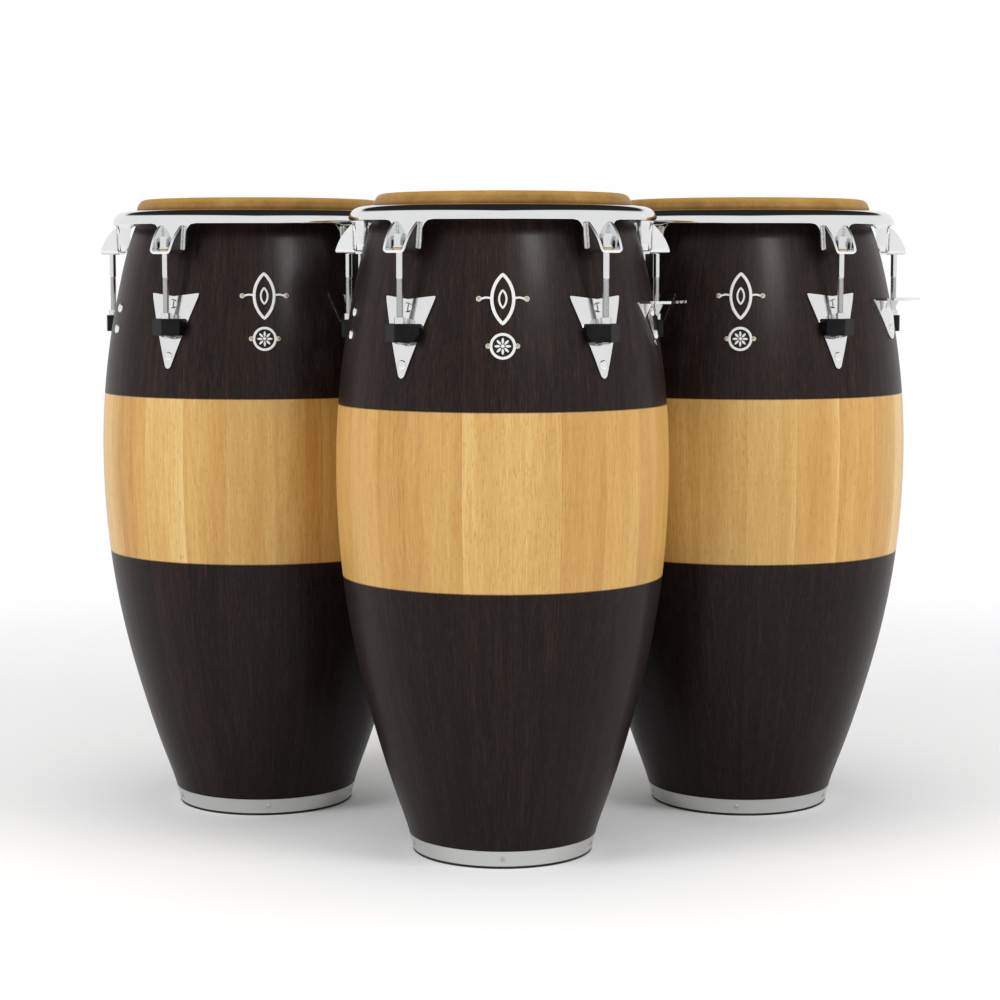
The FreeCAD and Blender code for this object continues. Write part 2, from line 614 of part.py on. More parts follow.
def shell_protector(drum):
    body = v_plate(drum, PROT_Z1, PROT_TIP, PROT_HALF, PROT_TIP_HALF,
                   PROT_BOLT_Z, PROT_CORNER, PROT_BODY_T)
    gussets = [protector_gusset(drum, x) for x in (-GUSSET_X, GUSSET_X)]
    protector = body.fuse([protector_shelf(drum)] + gussets)
    return [turn(one_solid(protector.removeSplitter()), PROT_AZ)]


# ---------------------------------------------------------------- ornaments
def oval_prism(inset_z, inset_x, near=90, far=260):
    """Pointed oval of the ornament, inset from its outline."""
    half_x = ORN_WIDE / 2 - inset_x
    half_z = ORN_TALL / 2 - inset_z
    low, high = xz(0, ORN_Z - half_z), xz(0, ORN_Z + half_z)
    wire = Part.Wire([arc(low, xz(half_x, ORN_Z), high),
                      arc(high, xz(-half_x, ORN_Z), low)])
    return front_prism(wire, near, far)


def pinned(drum, plate, z, pin_x, thick):
    """Drill the plate at both ears; return it and its two pins."""
    seat = GAP + thick
    pins = []
    for x in (-pin_x, pin_x):
        az = math.degrees(math.asin(x / drum.radius(z)))
        plate = one_solid(plate.cut(turn(drum.hole(z, PIN_HOLE_R), az)))
        pin = drum.dome_bolt(z, seat, seat - 0.1, PIN_HEAD_R, PIN_HEAD_H, PIN_R)
        pins.append(turn(pin, az))
    return plate, pins


def oval_ornament(drum):
    """Oval frame and core on a crossbar with an ear at each end."""
    frame = oval_prism(0, 0).cut(oval_prism(*ORN_WINDOW, near=80, far=270))
    bar = Part.makeBox(2 * ORN_PIN, 170, ORN_BAR,
                       Vector(-ORN_PIN, -260, ORN_Z - ORN_BAR / 2))
    ears = [front_cylinder(ORN_EAR_R, x, ORN_Z) for x in (-ORN_PIN, ORN_PIN)]
    shape = frame.fuse([oval_prism(*ORN_CORE), bar] + ears)
    blank = drum.front_ring(ORN_T, ORN_Z - 36, ORN_Z + 36)
    plate = one_solid(blank.common(shape).removeSplitter())
    return pinned(drum, plate, ORN_Z, ORN_PIN, ORN_T)


def round_badge(drum):
    """Ring with two ears, its pins, and the thinner disc inside it."""
    z0, z1 = BADGE_Z - 20, BADGE_Z + 20
    core_r = BADGE_R - BADGE_RING
    blank = drum.front_ring(BADGE_T, z0, z1, 6)
    ears = [one_solid(blank.common(front_cylinder(BADGE_EAR_R, x, BADGE_Z)))
            for x in (-BADGE_PIN, BADGE_PIN)]
    disc = one_solid(blank.common(front_cylinder(BADGE_R, 0, BADGE_Z)))
    ring = one_solid(disc.fuse(ears).removeSplitter())
    ring = one_solid(ring.cut(front_cylinder(core_r, 0, BADGE_Z)))
    core = one_solid(drum.front_ring(BADGE_CORE_T, z0, z1, 6).common(
        front_cylinder(core_r - 0.02, 0, BADGE_Z)))
    ring, pins = pinned(drum, ring, BADGE_Z, BADGE_PIN, BADGE_T)
    return ring, pins, core


def front_ornaments(drum):
    plate, plate_pins = oval_ornament(drum)
    ring, ring_pins, core = round_badge(drum)
    return [plate] + plate_pins + ring_pins + [ring, core]


# ----------------------------------------------------------------- assembly
def build(drum):
    """All pieces of one drum: {node name: solids}."""
    band, screws = base_band(drum)
    pieces = {"base_band": band, "band_screws": screws, "shell": shell_staves(drum)}
    for make in (rubber_foot, drumhead, flesh_hoop, tuning_hoop, lug_washers,
                 side_plates, receiver_blocks, threaded_inserts, shell_bolts,
                 inner_nuts, shell_protector, front_ornaments):
        pieces[make.__name__] = make(drum)
    for i, bolt in enumerate(tuning_bolts(drum), start=1):
        pieces["tuning_bolt_%d" % i] = bolt
    return pieces


for name, (scale, yaw, x, y) in DRUMS.items():
    for node, solids in build(Drum(scale)).items():
        shape = solids[0] if len(solids) == 1 else Part.makeCompound(solids)
        shape = turn(shape, yaw)
        shape.translate(Vector(x, y, 0))
        shape.exportStep("parts/%s_%s.step" % (name, node))
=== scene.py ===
"""Three stave hand drums ("centre", "left", "right") on a white studio floor.

Lengths are millimetres until Drum.world turns them into metres. Every drum is drawn upright
on its own +Z axis with its front towards -Y, at the size of the centre drum, then scaled,
turned and moved onto its CAD pieces. Azimuths are degrees from the front (-Y) towards +X.
"""
import bpy
import json
import math
import numpy as np
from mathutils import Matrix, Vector, noise

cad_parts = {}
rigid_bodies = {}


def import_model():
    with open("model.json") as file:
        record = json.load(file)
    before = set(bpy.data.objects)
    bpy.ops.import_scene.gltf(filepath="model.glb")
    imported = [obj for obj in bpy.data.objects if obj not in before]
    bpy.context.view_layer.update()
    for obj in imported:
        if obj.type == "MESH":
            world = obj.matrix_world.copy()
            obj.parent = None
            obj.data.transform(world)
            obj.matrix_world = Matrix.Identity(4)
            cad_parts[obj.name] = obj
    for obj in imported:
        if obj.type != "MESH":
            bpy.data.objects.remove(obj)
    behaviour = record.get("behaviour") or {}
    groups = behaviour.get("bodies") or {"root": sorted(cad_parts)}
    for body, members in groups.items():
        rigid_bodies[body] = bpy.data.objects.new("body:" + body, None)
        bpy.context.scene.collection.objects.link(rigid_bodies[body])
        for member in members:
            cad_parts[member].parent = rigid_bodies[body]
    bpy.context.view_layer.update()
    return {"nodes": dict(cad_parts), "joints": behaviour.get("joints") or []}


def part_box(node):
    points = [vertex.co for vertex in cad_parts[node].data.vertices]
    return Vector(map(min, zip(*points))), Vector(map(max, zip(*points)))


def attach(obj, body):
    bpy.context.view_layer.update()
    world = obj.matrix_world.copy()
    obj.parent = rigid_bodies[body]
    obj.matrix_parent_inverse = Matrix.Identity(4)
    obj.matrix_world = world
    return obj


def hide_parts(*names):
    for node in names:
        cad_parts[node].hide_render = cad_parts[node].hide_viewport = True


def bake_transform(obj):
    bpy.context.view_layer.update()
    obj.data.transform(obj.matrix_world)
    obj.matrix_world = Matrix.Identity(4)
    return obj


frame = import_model()

MM = 0.001
GAP = 0.05  # clearance under everything that lies on the shell

# Shell: outside profile as (z, radius), from the foot to the top edge
SHELL = [(3.0, 104.9), (26.0, 111.0), (62.0, 123.2), (100.0, 135.8),
         (146.0, 149.4), (196.0, 162.6), (246.0, 173.5), (296.0, 181.9),
         (346.0, 187.7), (396.0, 191.2), (446.0, 192.4), (496.0, 191.2),
         (546.0, 187.3), (596.0, 180.8), (640.0, 173.0), (680.0, 164.6),
         (716.0, 154.6), (744.0, 144.0), (755.0, 139.8)]
WALL = 11.5
STAVES = 22
STAVE_PHASE = 3.2            # azimuth of the first glue line
BAND_LOW, BAND_HIGH = 324.0, 523.0  # the natural wood band

# Hoop: outer and inner faces as (radius, z), from the bore to the top of the skirt
HOOP_OUT = [(149.4, 748.2), (158.0, 747.5), (166.0, 746.1), (171.2, 743.5),
            (174.6, 739.6), (176.4, 735.3), (177.0, 731.0)]
HOOP_IN = [(149.4, 745.2), (157.8, 744.5), (165.1, 743.2), (169.3, 741.1),
           (172.0, 738.0), (173.5, 734.6), (174.0, 731.0)]
HOOP_BORE = HOOP_OUT[0][0]
HOOP_R, SKIRT_Z = HOOP_OUT[-1]
HEAD_R = 145.0               # radius where the hide turns down
FLESH_HOOP_R = 158.6         # outer radius of the CAD flesh hoop at scale 1

LUGS = [-36.0, 36.0, 108.0, 180.0, -108.0]  # azimuths of the tuning bolts
SIDE = 72.0                  # azimuth of the bracket, and of the bolts opposite

# Tongue of the skirt below the top edge at each lug
TONGUE_Z = 698.0
TONGUE_HALF_TOP, TONGUE_HALF_BOTTOM = 20.8, 17.8
TONGUE_FILLET, TONGUE_CORNER = 14.0, 4.0

# Lug cup: a U-shaped strap standing out from each tongue
CUP_Z, CUP_TOP, CUP_T, CUP_OUT = 693.9, 728.0, 3.3, 24.0
CUP_HALF_BOTTOM, CUP_HALF_TOP, CUP_CORNER = 15.0, 17.5, 6.0

BOLT_PITCH = 25.4 / 18.0
PLATE_T = 2.4
PLATE_BOLTS_Z = (634.5, 572.0)
BLOCK_BOLT_Z = 606.5
SIDE_BOLTS_Z = (628.5, 603.0)


# ------------------------------------------------------------------- curves
def smooth_curve(points, steps=6):
    """Centripetal Catmull-Rom curve through the points."""
    points = np.array(points, float)
    padded = [2 * points[0] - points[1], *points, 2 * points[-1] - points[-2]]
    curve = []
    for before, start, end, after in zip(padded, padded[1:], padded[2:], padded[3:]):
        d1, d2, d3 = (max(np.linalg.norm(b - a), 1e-9) ** 0.5
                      for a, b in ((before, start), (start, end), (end, after)))
        out = ((start - before) / d1 - (end - before) / (d1 + d2) + (end - start) / d2) * d2
        into = ((end - start) / d2 - (after - start) / (d2 + d3) + (after - end) / d3) * d2
        for step in range(steps):
            t = step / steps
            curve.append((2 * t ** 3 - 3 * t ** 2 + 1) * start + (t ** 3 - 2 * t ** 2 + t) * out
                         + (-2 * t ** 3 + 3 * t ** 2) * end + (t ** 3 - t ** 2) * into)
    curve.append(points[-1])
    return np.array(curve)


def natural_spline(xs, ys):
    """Natural cubic spline, returned as a function of x."""
    count = len(xs)
    gaps = np.diff(xs)
    matrix = np.zeros((count, count))
    right = np.zeros(count)
    matrix[0, 0] = matrix[-1, -1] = 1
    for i in range(1, count - 1):
        matrix[i, i - 1:i + 2] = gaps[i - 1], 2 * (gaps[i - 1] + gaps[i]), gaps[i]
        right[i] = 3 * ((ys[i + 1] - ys[i]) / gaps[i] - (ys[i] - ys[i - 1]) / gaps[i - 1])
    bend = np.linalg.solve(matrix, right)

    def value(x):
        i = int(np.clip(np.searchsorted(xs, x) - 1, 0, count - 2))
        t = x - xs[i]
        slope = (ys[i + 1] - ys[i]) / gaps[i] - gaps[i] * (2 * bend[i] + bend[i + 1]) / 3
        cubic = (bend[i + 1] - bend[i]) / (3 * gaps[i])
        return ys[i] + slope * t + bend[i] * t * t + cubic * t ** 3
    return value


shell_profile = natural_spline(*np.array(SHELL).T)


def unit(vector):
    return vector / np.linalg.norm(vector)


def fillet(corner, to_start, to_end, radius, count):
    """Arc rounding a corner, given unit vectors from it along both sides.

    The arc's angles must not cross +-180 degrees.
    """
    half_angle = math.acos(np.dot(to_start, to_end)) / 2
    reach = radius / math.tan(half_angle)
    centre = corner + unit(to_start + to_end) * (radius / math.sin(half_angle))
    first, last = (math.atan2(y, x) for x, y in
                   (corner + to_start * reach - centre, corner + to_end * reach - centre))
    return [centre + radius * np.array([math.cos(a), math.sin(a)])
            for a in np.linspace(first, last, count)]


def circle_through(a, b, c):
    """Centre and radius of the circle through three points."""
    (ax, ay), (bx, by), (cx, cy) = a, b, c
    twice_area = 2 * (ax * (by - cy) + bx * (cy - ay) + cx * (ay - by))
    aa, bb, cc = ax * ax + ay * ay, bx * bx + by * by, cx * cx + cy * cy
    x = (aa * (by - cy) + bb * (cy - ay) + cc * (ay - by)) / twice_area
    y = (aa * (cx - bx) + bb * (ax - cx) + cc * (bx - ax)) / twice_area
    return x, y, math.hypot(ax - x, ay - y)


def noise3(x, y, z):
    return noise.noise(Vector((x, y, z)))


# -------------------------------------------------------------------- drums
class Drum:
    """Place, turn and scale of one drum, read from its CAD pieces."""

    def __init__(self, name, seed):
        self.name, self.seed = name, seed
        low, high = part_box(name + "_flesh_hoop")
        self.x, self.y = (low.x + high.x) * 500.0, (low.y + high.y) * 500.0
        scale = 1.0 + ((high.y - low.y) * 500.0 - FLESH_HOOP_R) / HOOP_R
        self.scale = round(scale * 200.0) / 200.0
        joint = [q for q in frame["joints"] if q["name"] == name + "_bolt_1_turn"][0]
        bolt_x, bolt_y = joint["pos_m"][0] * 1000 - self.x, joint["pos_m"][1] * 1000 - self.y
        # bolt 1 is drawn at the first lug; azimuth 0 lies at -90 degrees from +X
        turned = math.degrees(math.atan2(bolt_y, bolt_x)) - (LUGS[0] - 90.0)
        self.yaw = math.radians(round(turned * 10) / 10)
        self.hoop_r = HOOP_R * self.scale
        self.bolt_r = self.hoop_r + 13.0
        self.head_growth = HEAD_R * (self.scale - 1)

    def radius(self, z):
        """Outside radius of the shell."""
        return shell_profile(z) * self.scale

    def hoop_point(self, r, z):
        """Scale a hoop radius: the bore grows like the head, the skirt like the hoop."""
        width = HOOP_R - HOOP_BORE
        growth = (r - HOOP_BORE) / width * HOOP_R * (self.scale - 1)
        return (r + growth + (HOOP_R - r) / width * self.head_growth, z)

    def on_shell(self, x, z, lift):
        """Point on the front of the shell, lifted off its surface."""
        r = self.radius(z) + lift
        return (x, -math.sqrt(r * r - x * x), z)

    def world(self, verts):
        cos, sin = math.cos(self.yaw), math.sin(self.yaw)
        x, y, z = verts.T
        return np.stack([x * cos - y * sin + self.x, x * sin + y * cos + self.y, z], 1) * MM


# ------------------------------------------------- meshes: (verts, faces)
def at_azimuth(verts, azimuth):
    """Turn points drawn at the front (-Y) to an azimuth."""
    x, y, z = np.asarray(verts, float).T
    cos, sin = math.cos(math.radians(azimuth)), math.sin(math.radians(azimuth))
    return np.stack([x * cos - y * sin, x * sin + y * cos, z], 1)


def join(parts):
    all_verts, all_faces, base = [], [], 0
    for verts, faces in parts:
        all_verts.append(np.asarray(verts, float))
        all_faces += shifted(faces, base)
        base += len(verts)
    return np.concatenate(all_verts), all_faces


def at_lugs(verts, faces):
    """One copy at every lug."""
    return join([(at_azimuth(verts, lug), faces) for lug in LUGS])


def shifted(faces, base):
    return [tuple(i + base for i in face) for face in faces]


def flipped(faces):
    return [tuple(reversed(face)) for face in faces]


def grid_faces(rows, columns, close_rows=False, close_columns=False):
    faces = []
    for i in range(rows if close_rows else rows - 1):
        for j in range(columns if close_columns else columns - 1):
            this, after = i * columns, ((i + 1) % rows) * columns
            side = (j + 1) % columns
            faces.append((this + j, after + j, after + side, this + side))
    return faces


def tube_faces(rows, columns):
    """Closed sections in a row, capped at both ends."""
    last = (rows - 1) * columns
    return grid_faces(rows, columns, close_columns=True) + \
        [tuple(range(columns - 1, -1, -1)), tuple(range(last, last + columns))]


def fan(centre, rim, flip=False):
    rim = list(rim)
    pairs = zip(rim, rim[1:] + rim[:1])
    return [(centre, b, a) if flip else (centre, a, b) for a, b in pairs]


def turn(profile, angle):
    """(radius, z) points set at an angle from +X."""
    cos, sin = math.cos(angle), math.sin(angle)
    return [(r * cos, r * sin, z) for r, z in profile]


def lathe(profile, count):
    """Profile of (radius, z) turned about Z; its first and last points lie on the axis."""
    body = profile[1:-1]
    size, pole = len(body), len(body) * count
    verts = [p for i in range(count) for p in turn(body, math.tau * i / count)]
    verts += [(0, 0, profile[0][1]), (0, 0, profile[-1][1])]
    faces = grid_faces(count, size, close_rows=True)
    faces += fan(pole, range(0, pole, size), flip=True)
    faces += fan(pole + 1, range(size - 1, pole, size))
    return np.array(verts, float), faces


def set_on(drum, azimuth, z, lift, mesh):
    """Stand a mesh drawn along +Z on the shell, square to its surface."""
    verts, faces = mesh
    slope = drum.radius(z + 0.5) - drum.radius(z - 0.5)
    normal = unit(np.array([0, -1.0, -slope]))
    across = np.array([1.0, 0, 0])
    up = np.cross(normal, across)
    verts = np.asarray(verts, float)
    placed = np.array([0, -drum.radius(z), z]) + verts[:, :1] * across \
        + verts[:, 1:2] * up + (verts[:, 2:3] + lift) * normal
    return at_azimuth(placed, azimuth), faces


def piece(drum, name, mesh, material, sharp, body="drum", replaces=None,
          bevel=0.0, bevel_segments=2, cut_faces=()):
    """Make the object; name, body and replaces are given without the drum's name."""
    verts, faces = mesh
    verts = np.asarray(verts, float)
    name = drum.name + "_" + name
    data = bpy.data.meshes.new(name)
    data.from_pydata(drum.world(verts).tolist(), [], faces)
    data.validate(clean_customdata=False)
    data.update()
    # drum-local place in metres, for the textures
    local = data.attributes.new("loc", "FLOAT_VECTOR", "POINT")
    local.data.foreach_set("vector", (verts * MM).astype(np.float32).ravel())
    for polygon in data.polygons:
        polygon.use_smooth = True
    data.set_sharp_from_angle(angle=math.radians(sharp))
    obj = bpy.data.objects.new(name, data)
    bpy.context.scene.collection.objects.link(obj)
    data.materials.append(material)
    if cut_faces:
        data.materials.append(MAT["cut"])
        for i in cut_faces:
            data.polygons[i].material_index = 1
    if bevel > 0:
        edge = obj.modifiers.new("edge", "BEVEL")
        edge.width = bevel * MM
        edge.segments = bevel_segments
        edge.limit_method = "ANGLE"
        edge.angle_limit = math.radians(sharp)
        edge.harden_normals = False
        edge.use_clamp_overlap = True
        normals = obj.modifiers.new("normals", "WEIGHTED_NORMAL")
        normals.keep_sharp = False
        normals.weight = 60
    if body:
        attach(obj, drum.name + "_" + body)
    if replaces:
        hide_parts(drum.name + "_" + replaces)
    return obj


def float_attribute(obj, name, values):
    attribute = obj.data.attributes.new(name, "FLOAT", "POINT")
    attribute.data.foreach_set("value", np.array(values, np.float32))


# ------------------------------------------------------------- shader nodes
class Nodes:
    """Short ways to add nodes to a cleared tree; values may be sockets or numbers."""

    def __init__(self, owner):
        owner.use_nodes = True
        self.tree = owner.node_tree
        self.tree.nodes.clear()

    def node(self, kind, **props):
        node = self.tree.nodes.new(kind)
        for key, value in props.items():
            setattr(node, key, value)
        return node

    def put(self, socket, value):
        if isinstance(value, bpy.types.NodeSocket):
            self.tree.links.new(value, socket)
        else:
            if socket.type == "RGBA" and len(value) == 3:
                value = (*value, 1.0)
            socket.default_value = value

    def math(self, operation, *values, clamp=False):
        node = self.node("ShaderNodeMath", operation=operation, use_clamp=clamp)
        for socket, value in zip(node.inputs, values):
            self.put(socket, value)
        return node.outputs[0]

    def add(self, a, b, clamp=False):
        return self.math("ADD", a, b, clamp=clamp)

    def sub(self, a, b):
        return self.math("SUBTRACT", a, b)

    def mul(self, a, b):
        return self.math("MULTIPLY", a, b)

    def linear(self, value, gain, base):
        return self.add(self.mul(value, gain), base)

    def swing(self, value, amount):
        """A 0..1 value turned into one centred on zero."""
        return self.mul(self.sub(value, 0.5), amount)

    def blend(self, *terms):
        """Sum of (value, weight) pairs."""
        total = self.mul(*terms[0])
        for term in terms[1:]:
            total = self.add(total, self.mul(*term))
        return total

    def mask(self, value, start, end, smooth=False):
        """0 at start, 1 at end, clamped outside."""
        node = self.node("ShaderNodeMapRange",
                         interpolation_type="SMOOTHSTEP" if smooth else "LINEAR")
        for socket, number in zip(node.inputs, (value, start, end)):
            self.put(socket, number)
        return node.outputs[0]

    def mix(self, factor, a, b):
        node = self.node("ShaderNodeMix", data_type="RGBA", blend_type="MIX")
        self.put(node.inputs["Factor"], factor)
        self.put(node.inputs[6], a)
        self.put(node.inputs[7], b)
        return node.outputs[2]

    def xyz(self, vector):
        node = self.node("ShaderNodeSeparateXYZ")
        self.put(node.inputs[0], vector)
        return node.outputs


class Material(Nodes):
    SOCKETS = {"color": "Base Color", "rough": "Roughness", "metal": "Metallic",
               "normal": "Normal", "coat": "Coat Weight", "coat_rough": "Coat Roughness",
               "spec": "Specular IOR Level", "coat_normal": "Coat Normal"}

    def __init__(self, name):
        self.material = bpy.data.materials.new(name)
        super().__init__(self.material)
        self.output = self.node("ShaderNodeOutputMaterial")
        self.surface = self.node("ShaderNodeBsdfPrincipled")
        self.put(self.output.inputs[0], self.surface.outputs[0])

    def finish(self, **values):
        for key, value in values.items():
            self.put(self.surface.inputs[self.SOCKETS[key]], value)
        return self.material

    def place(self, local=True):
        """Drum-local place, or object coordinates for pieces without that attribute."""
        if local:
            return self.node("ShaderNodeAttribute", attribute_name="loc").outputs["Vector"]
        return self.node("ShaderNodeTexCoord").outputs["Object"]

    def attribute(self, name):
        return self.node("ShaderNodeAttribute", attribute_name=name).outputs["Fac"]

    def vec(self, x, y, z):
        node = self.node("ShaderNodeCombineXYZ")
        for socket, value in zip(node.inputs, (x, y, z)):
            self.put(socket, value)
        return node.outputs[0]

    def moved(self, vector, offset):
        node = self.node("ShaderNodeVectorMath", operation="ADD")
        self.put(node.inputs[0], vector)
        self.put(node.inputs[1], offset)
        return node.outputs[0]

    def stretched(self, vector, stretch):
        node = self.node("ShaderNodeMapping")
        self.put(node.inputs["Vector"], vector)
        node.inputs["Scale"].default_value = stretch
        return node.outputs[0]

    def noise(self, vector, scale=1.0, detail=3.0, rough=0.55, distortion=0.0, stretch=None):
        if stretch:
            vector = self.stretched(vector, stretch)
        node = self.node("ShaderNodeTexNoise", noise_dimensions="3D")
        self.put(node.inputs["Vector"], vector)
        node.inputs["Scale"].default_value = scale
        node.inputs["Detail"].default_value = detail
        node.inputs["Roughness"].default_value = rough
        node.inputs["Distortion"].default_value = distortion
        return node.outputs["Fac"]

    def random(self, number):
        node = self.node("ShaderNodeTexWhiteNoise", noise_dimensions="1D")
        self.put(node.inputs["W"], number)
        return node.outputs["Value"]

    def ramp(self, factor, stops):
        """Stops are (position, red, green, blue), colours as for srgb."""
        node = self.node("ShaderNodeValToRGB")
        elements = node.color_ramp.elements
        while len(elements) > 1:
            elements.remove(elements[-1])
        for i, (position, *colour) in enumerate(stops):
            stop = elements[0] if i == 0 else elements.new(position)
            stop.position = position
            stop.color = (*srgb(*colour), 1.0)
        self.put(node.inputs[0], factor)
        return node.outputs[0]

    def tint(self, base, colour, mask, amount):
        return self.mix(self.mul(mask, amount), base, colour)

    def bump(self, height, strength, distance):
        node = self.node("ShaderNodeBump")
        node.inputs["Strength"].default_value = strength
        node.inputs["Distance"].default_value = distance
        self.put(node.inputs["Height"], height)
        return node.outputs[0]


def srgb(*channels):
    """0..255 display values to linear colour."""
    return tuple(c / 12.92 if c <= 0.04045 else ((c + 0.055) / 1.055) ** 2.4
                 for c in (channel / 255.0 for channel in channels))


def grey(value):
    return (value, value, value)


# ---------------------------------------------------------------- materials
# colour ramps as (position, red, green, blue)
DARK_STAIN = [(0.28, 17, 13, 12), (0.42, 25, 20, 19), (0.54, 32, 25, 23),
              (0.66, 46, 33, 30), (0.80, 64, 42, 36)]
CLEAR_WOOD = [(0.22, 163, 116, 56), (0.40, 184, 141, 76), (0.56, 196, 157, 90),
              (0.75, 211, 179, 117)]
RAW_WOOD = [(0.2, 150, 108, 66), (0.5, 178, 136, 88), (0.8, 200, 164, 112)]
HIDE = [(0.30, 100, 70, 28), (0.44, 132, 97, 44), (0.56, 152, 116, 58), (0.70, 176, 138, 78)]
STAVE_WIDTH = 0.054  # metres of wood texture across one stave


def stave_coordinates(mat, x, y, seed):
    """Place across the stave (0..1) and two random numbers for each stave."""
    degrees = mat.mul(mat.math("ARCTAN2", x, mat.mul(y, -1.0)), 57.29578)
    stave = mat.math("DIVIDE", mat.add(degrees, 720.0 - STAVE_PHASE), 360.0 / STAVES)
    number = mat.math("FLOOR", stave)
    across = mat.math("FRACT", stave)
    number = mat.math("MODULO", number, float(STAVES))
    return (across, mat.random(mat.add(number, seed * 31.7)),
            mat.random(mat.add(number, seed * 77.1 + 500.3)))


def band_masks(mat, z, base):
    """The natural band, and the dark lines along its two edges."""
    ragged = mat.swing(mat.noise(base, stretch=(500, 1, 3.0), detail=1.0), 0.5)
    height = mat.add(mat.mul(z, 1000.0), ragged)

    def between(rise, fall):
        return mat.mul(mat.mask(height, *rise), mat.mask(height, *fall))
    band = between((BAND_LOW - 0.3, BAND_LOW + 0.3), (BAND_HIGH + 0.3, BAND_HIGH - 0.3))
    low = between((BAND_LOW - 1.2, BAND_LOW - 0.3), (BAND_LOW + 1.5, BAND_LOW + 0.5))
    high = between((BAND_HIGH - 1.3, BAND_HIGH - 0.3), (BAND_HIGH + 1.3, BAND_HIGH + 0.3))
    return band, mat.math("MAXIMUM", low, high)


def wood(name, seed):
    """Stained stave shell with a clear natural band round the belly."""
    mat = Material(name)
    x, y, z = mat.xyz(mat.place())
    across, random_a, random_b = stave_coordinates(mat, x, y, seed)
    base = mat.vec(mat.add(mat.mul(across, STAVE_WIDTH), mat.mul(random_a, 9.0)),
                   mat.mul(random_b, 7.0), z)
    # the fibres wander a little sideways
    wobble = mat.noise(base, stretch=(14, 1, 4.0), detail=2.0, rough=0.5)
    grain = mat.moved(base, mat.vec(mat.swing(wobble, 0.006), 0.0, 0.0))
    streak = mat.noise(grain, stretch=(430, 1, 19.0), detail=4.0, rough=0.64)
    figure = mat.noise(grain, stretch=(80, 1, 5.5), detail=3.0, rough=0.55)
    broad = mat.noise(grain, stretch=(30, 1, 1.6), detail=2.0, rough=0.5)
    fine = mat.noise(grain, stretch=(1500, 1, 70.0), detail=3.0, rough=0.62)
    pore = mat.noise(grain, stretch=(1150, 1, 110.0), detail=1.0, rough=0.5)
    pores = mat.mask(pore, start=0.63, end=0.72)
    # dark stain, with reddish fibres and black pores; towards the foot it carries painted shade
    tone = mat.blend((streak, 0.55), (figure, 0.45))
    tone = mat.add(tone, mat.swing(fine, 0.35))
    tone = mat.add(tone, mat.swing(random_a, 0.10))
    dark = mat.ramp(tone, DARK_STAIN)
    dark = mat.tint(dark, srgb(92, 55, 43), mat.mask(fine, start=0.52, end=0.74), amount=0.32)
    dark = mat.tint(dark, srgb(13, 10, 10), pores, amount=0.75)
    # painted shade: the stain is darkened from z 0.45 m down to 0.22 m
    dark = mat.tint(dark, srgb(9, 7, 7), mat.mask(z, start=0.45, end=0.22), amount=0.30)
    # natural wood
    tone = mat.blend((streak, 0.40), (broad, 0.60))
    tone = mat.add(tone, mat.swing(fine, 0.42))
    tone = mat.add(tone, mat.swing(random_a, 0.24))
    clear = mat.tint(mat.ramp(tone, CLEAR_WOOD), srgb(150, 99, 44), pores, amount=0.50)
    band, edge = band_masks(mat, z, base)
    colour = mat.mix(band, dark, clear)
    colour = mat.tint(colour, srgb(24, 17, 15), edge, amount=0.85)
    # glue lines; about half of those in the band are pale
    nearest = mat.math("MINIMUM", across, mat.sub(1.0, across))
    glue = mat.mask(mat.mul(nearest, STAVE_WIDTH * 1000), start=0.45, end=0.10)
    pale = mat.mul(mat.mask(random_b, start=0.45, end=0.50), band)
    seam = mat.mix(pale, srgb(84, 54, 30), srgb(232, 206, 156))
    colour = mat.mix(mat.mul(glue, mat.linear(band, gain=0.22, base=0.10)), colour, seam)
    # the attribute "raw" is 1 on the bare wood inside
    raw = mat.attribute("raw")
    colour = mat.mix(raw, colour, mat.ramp(tone, RAW_WOOD))
    relief = mat.blend((fine, 0.35), (streak, 0.5))
    relief = mat.sub(relief, mat.mul(pores, 0.5))
    relief = mat.sub(relief, mat.mul(glue, 0.8))
    lacquer_relief = mat.add(broad, mat.mul(streak, 0.3))
    return mat.finish(
        color=colour,
        rough=mat.add(mat.mul(streak, 0.16), mat.linear(raw, gain=0.3, base=0.30)),
        normal=mat.bump(relief, strength=0.35, distance=0.0003),
        spec=mat.linear(band, gain=0.12, base=0.08),
        coat=mat.mul(mat.sub(1.0, raw), mat.linear(band, gain=0.16, base=0.08)),
        coat_rough=0.22,
        coat_normal=mat.bump(lacquer_relief, strength=0.10, distance=0.0006))


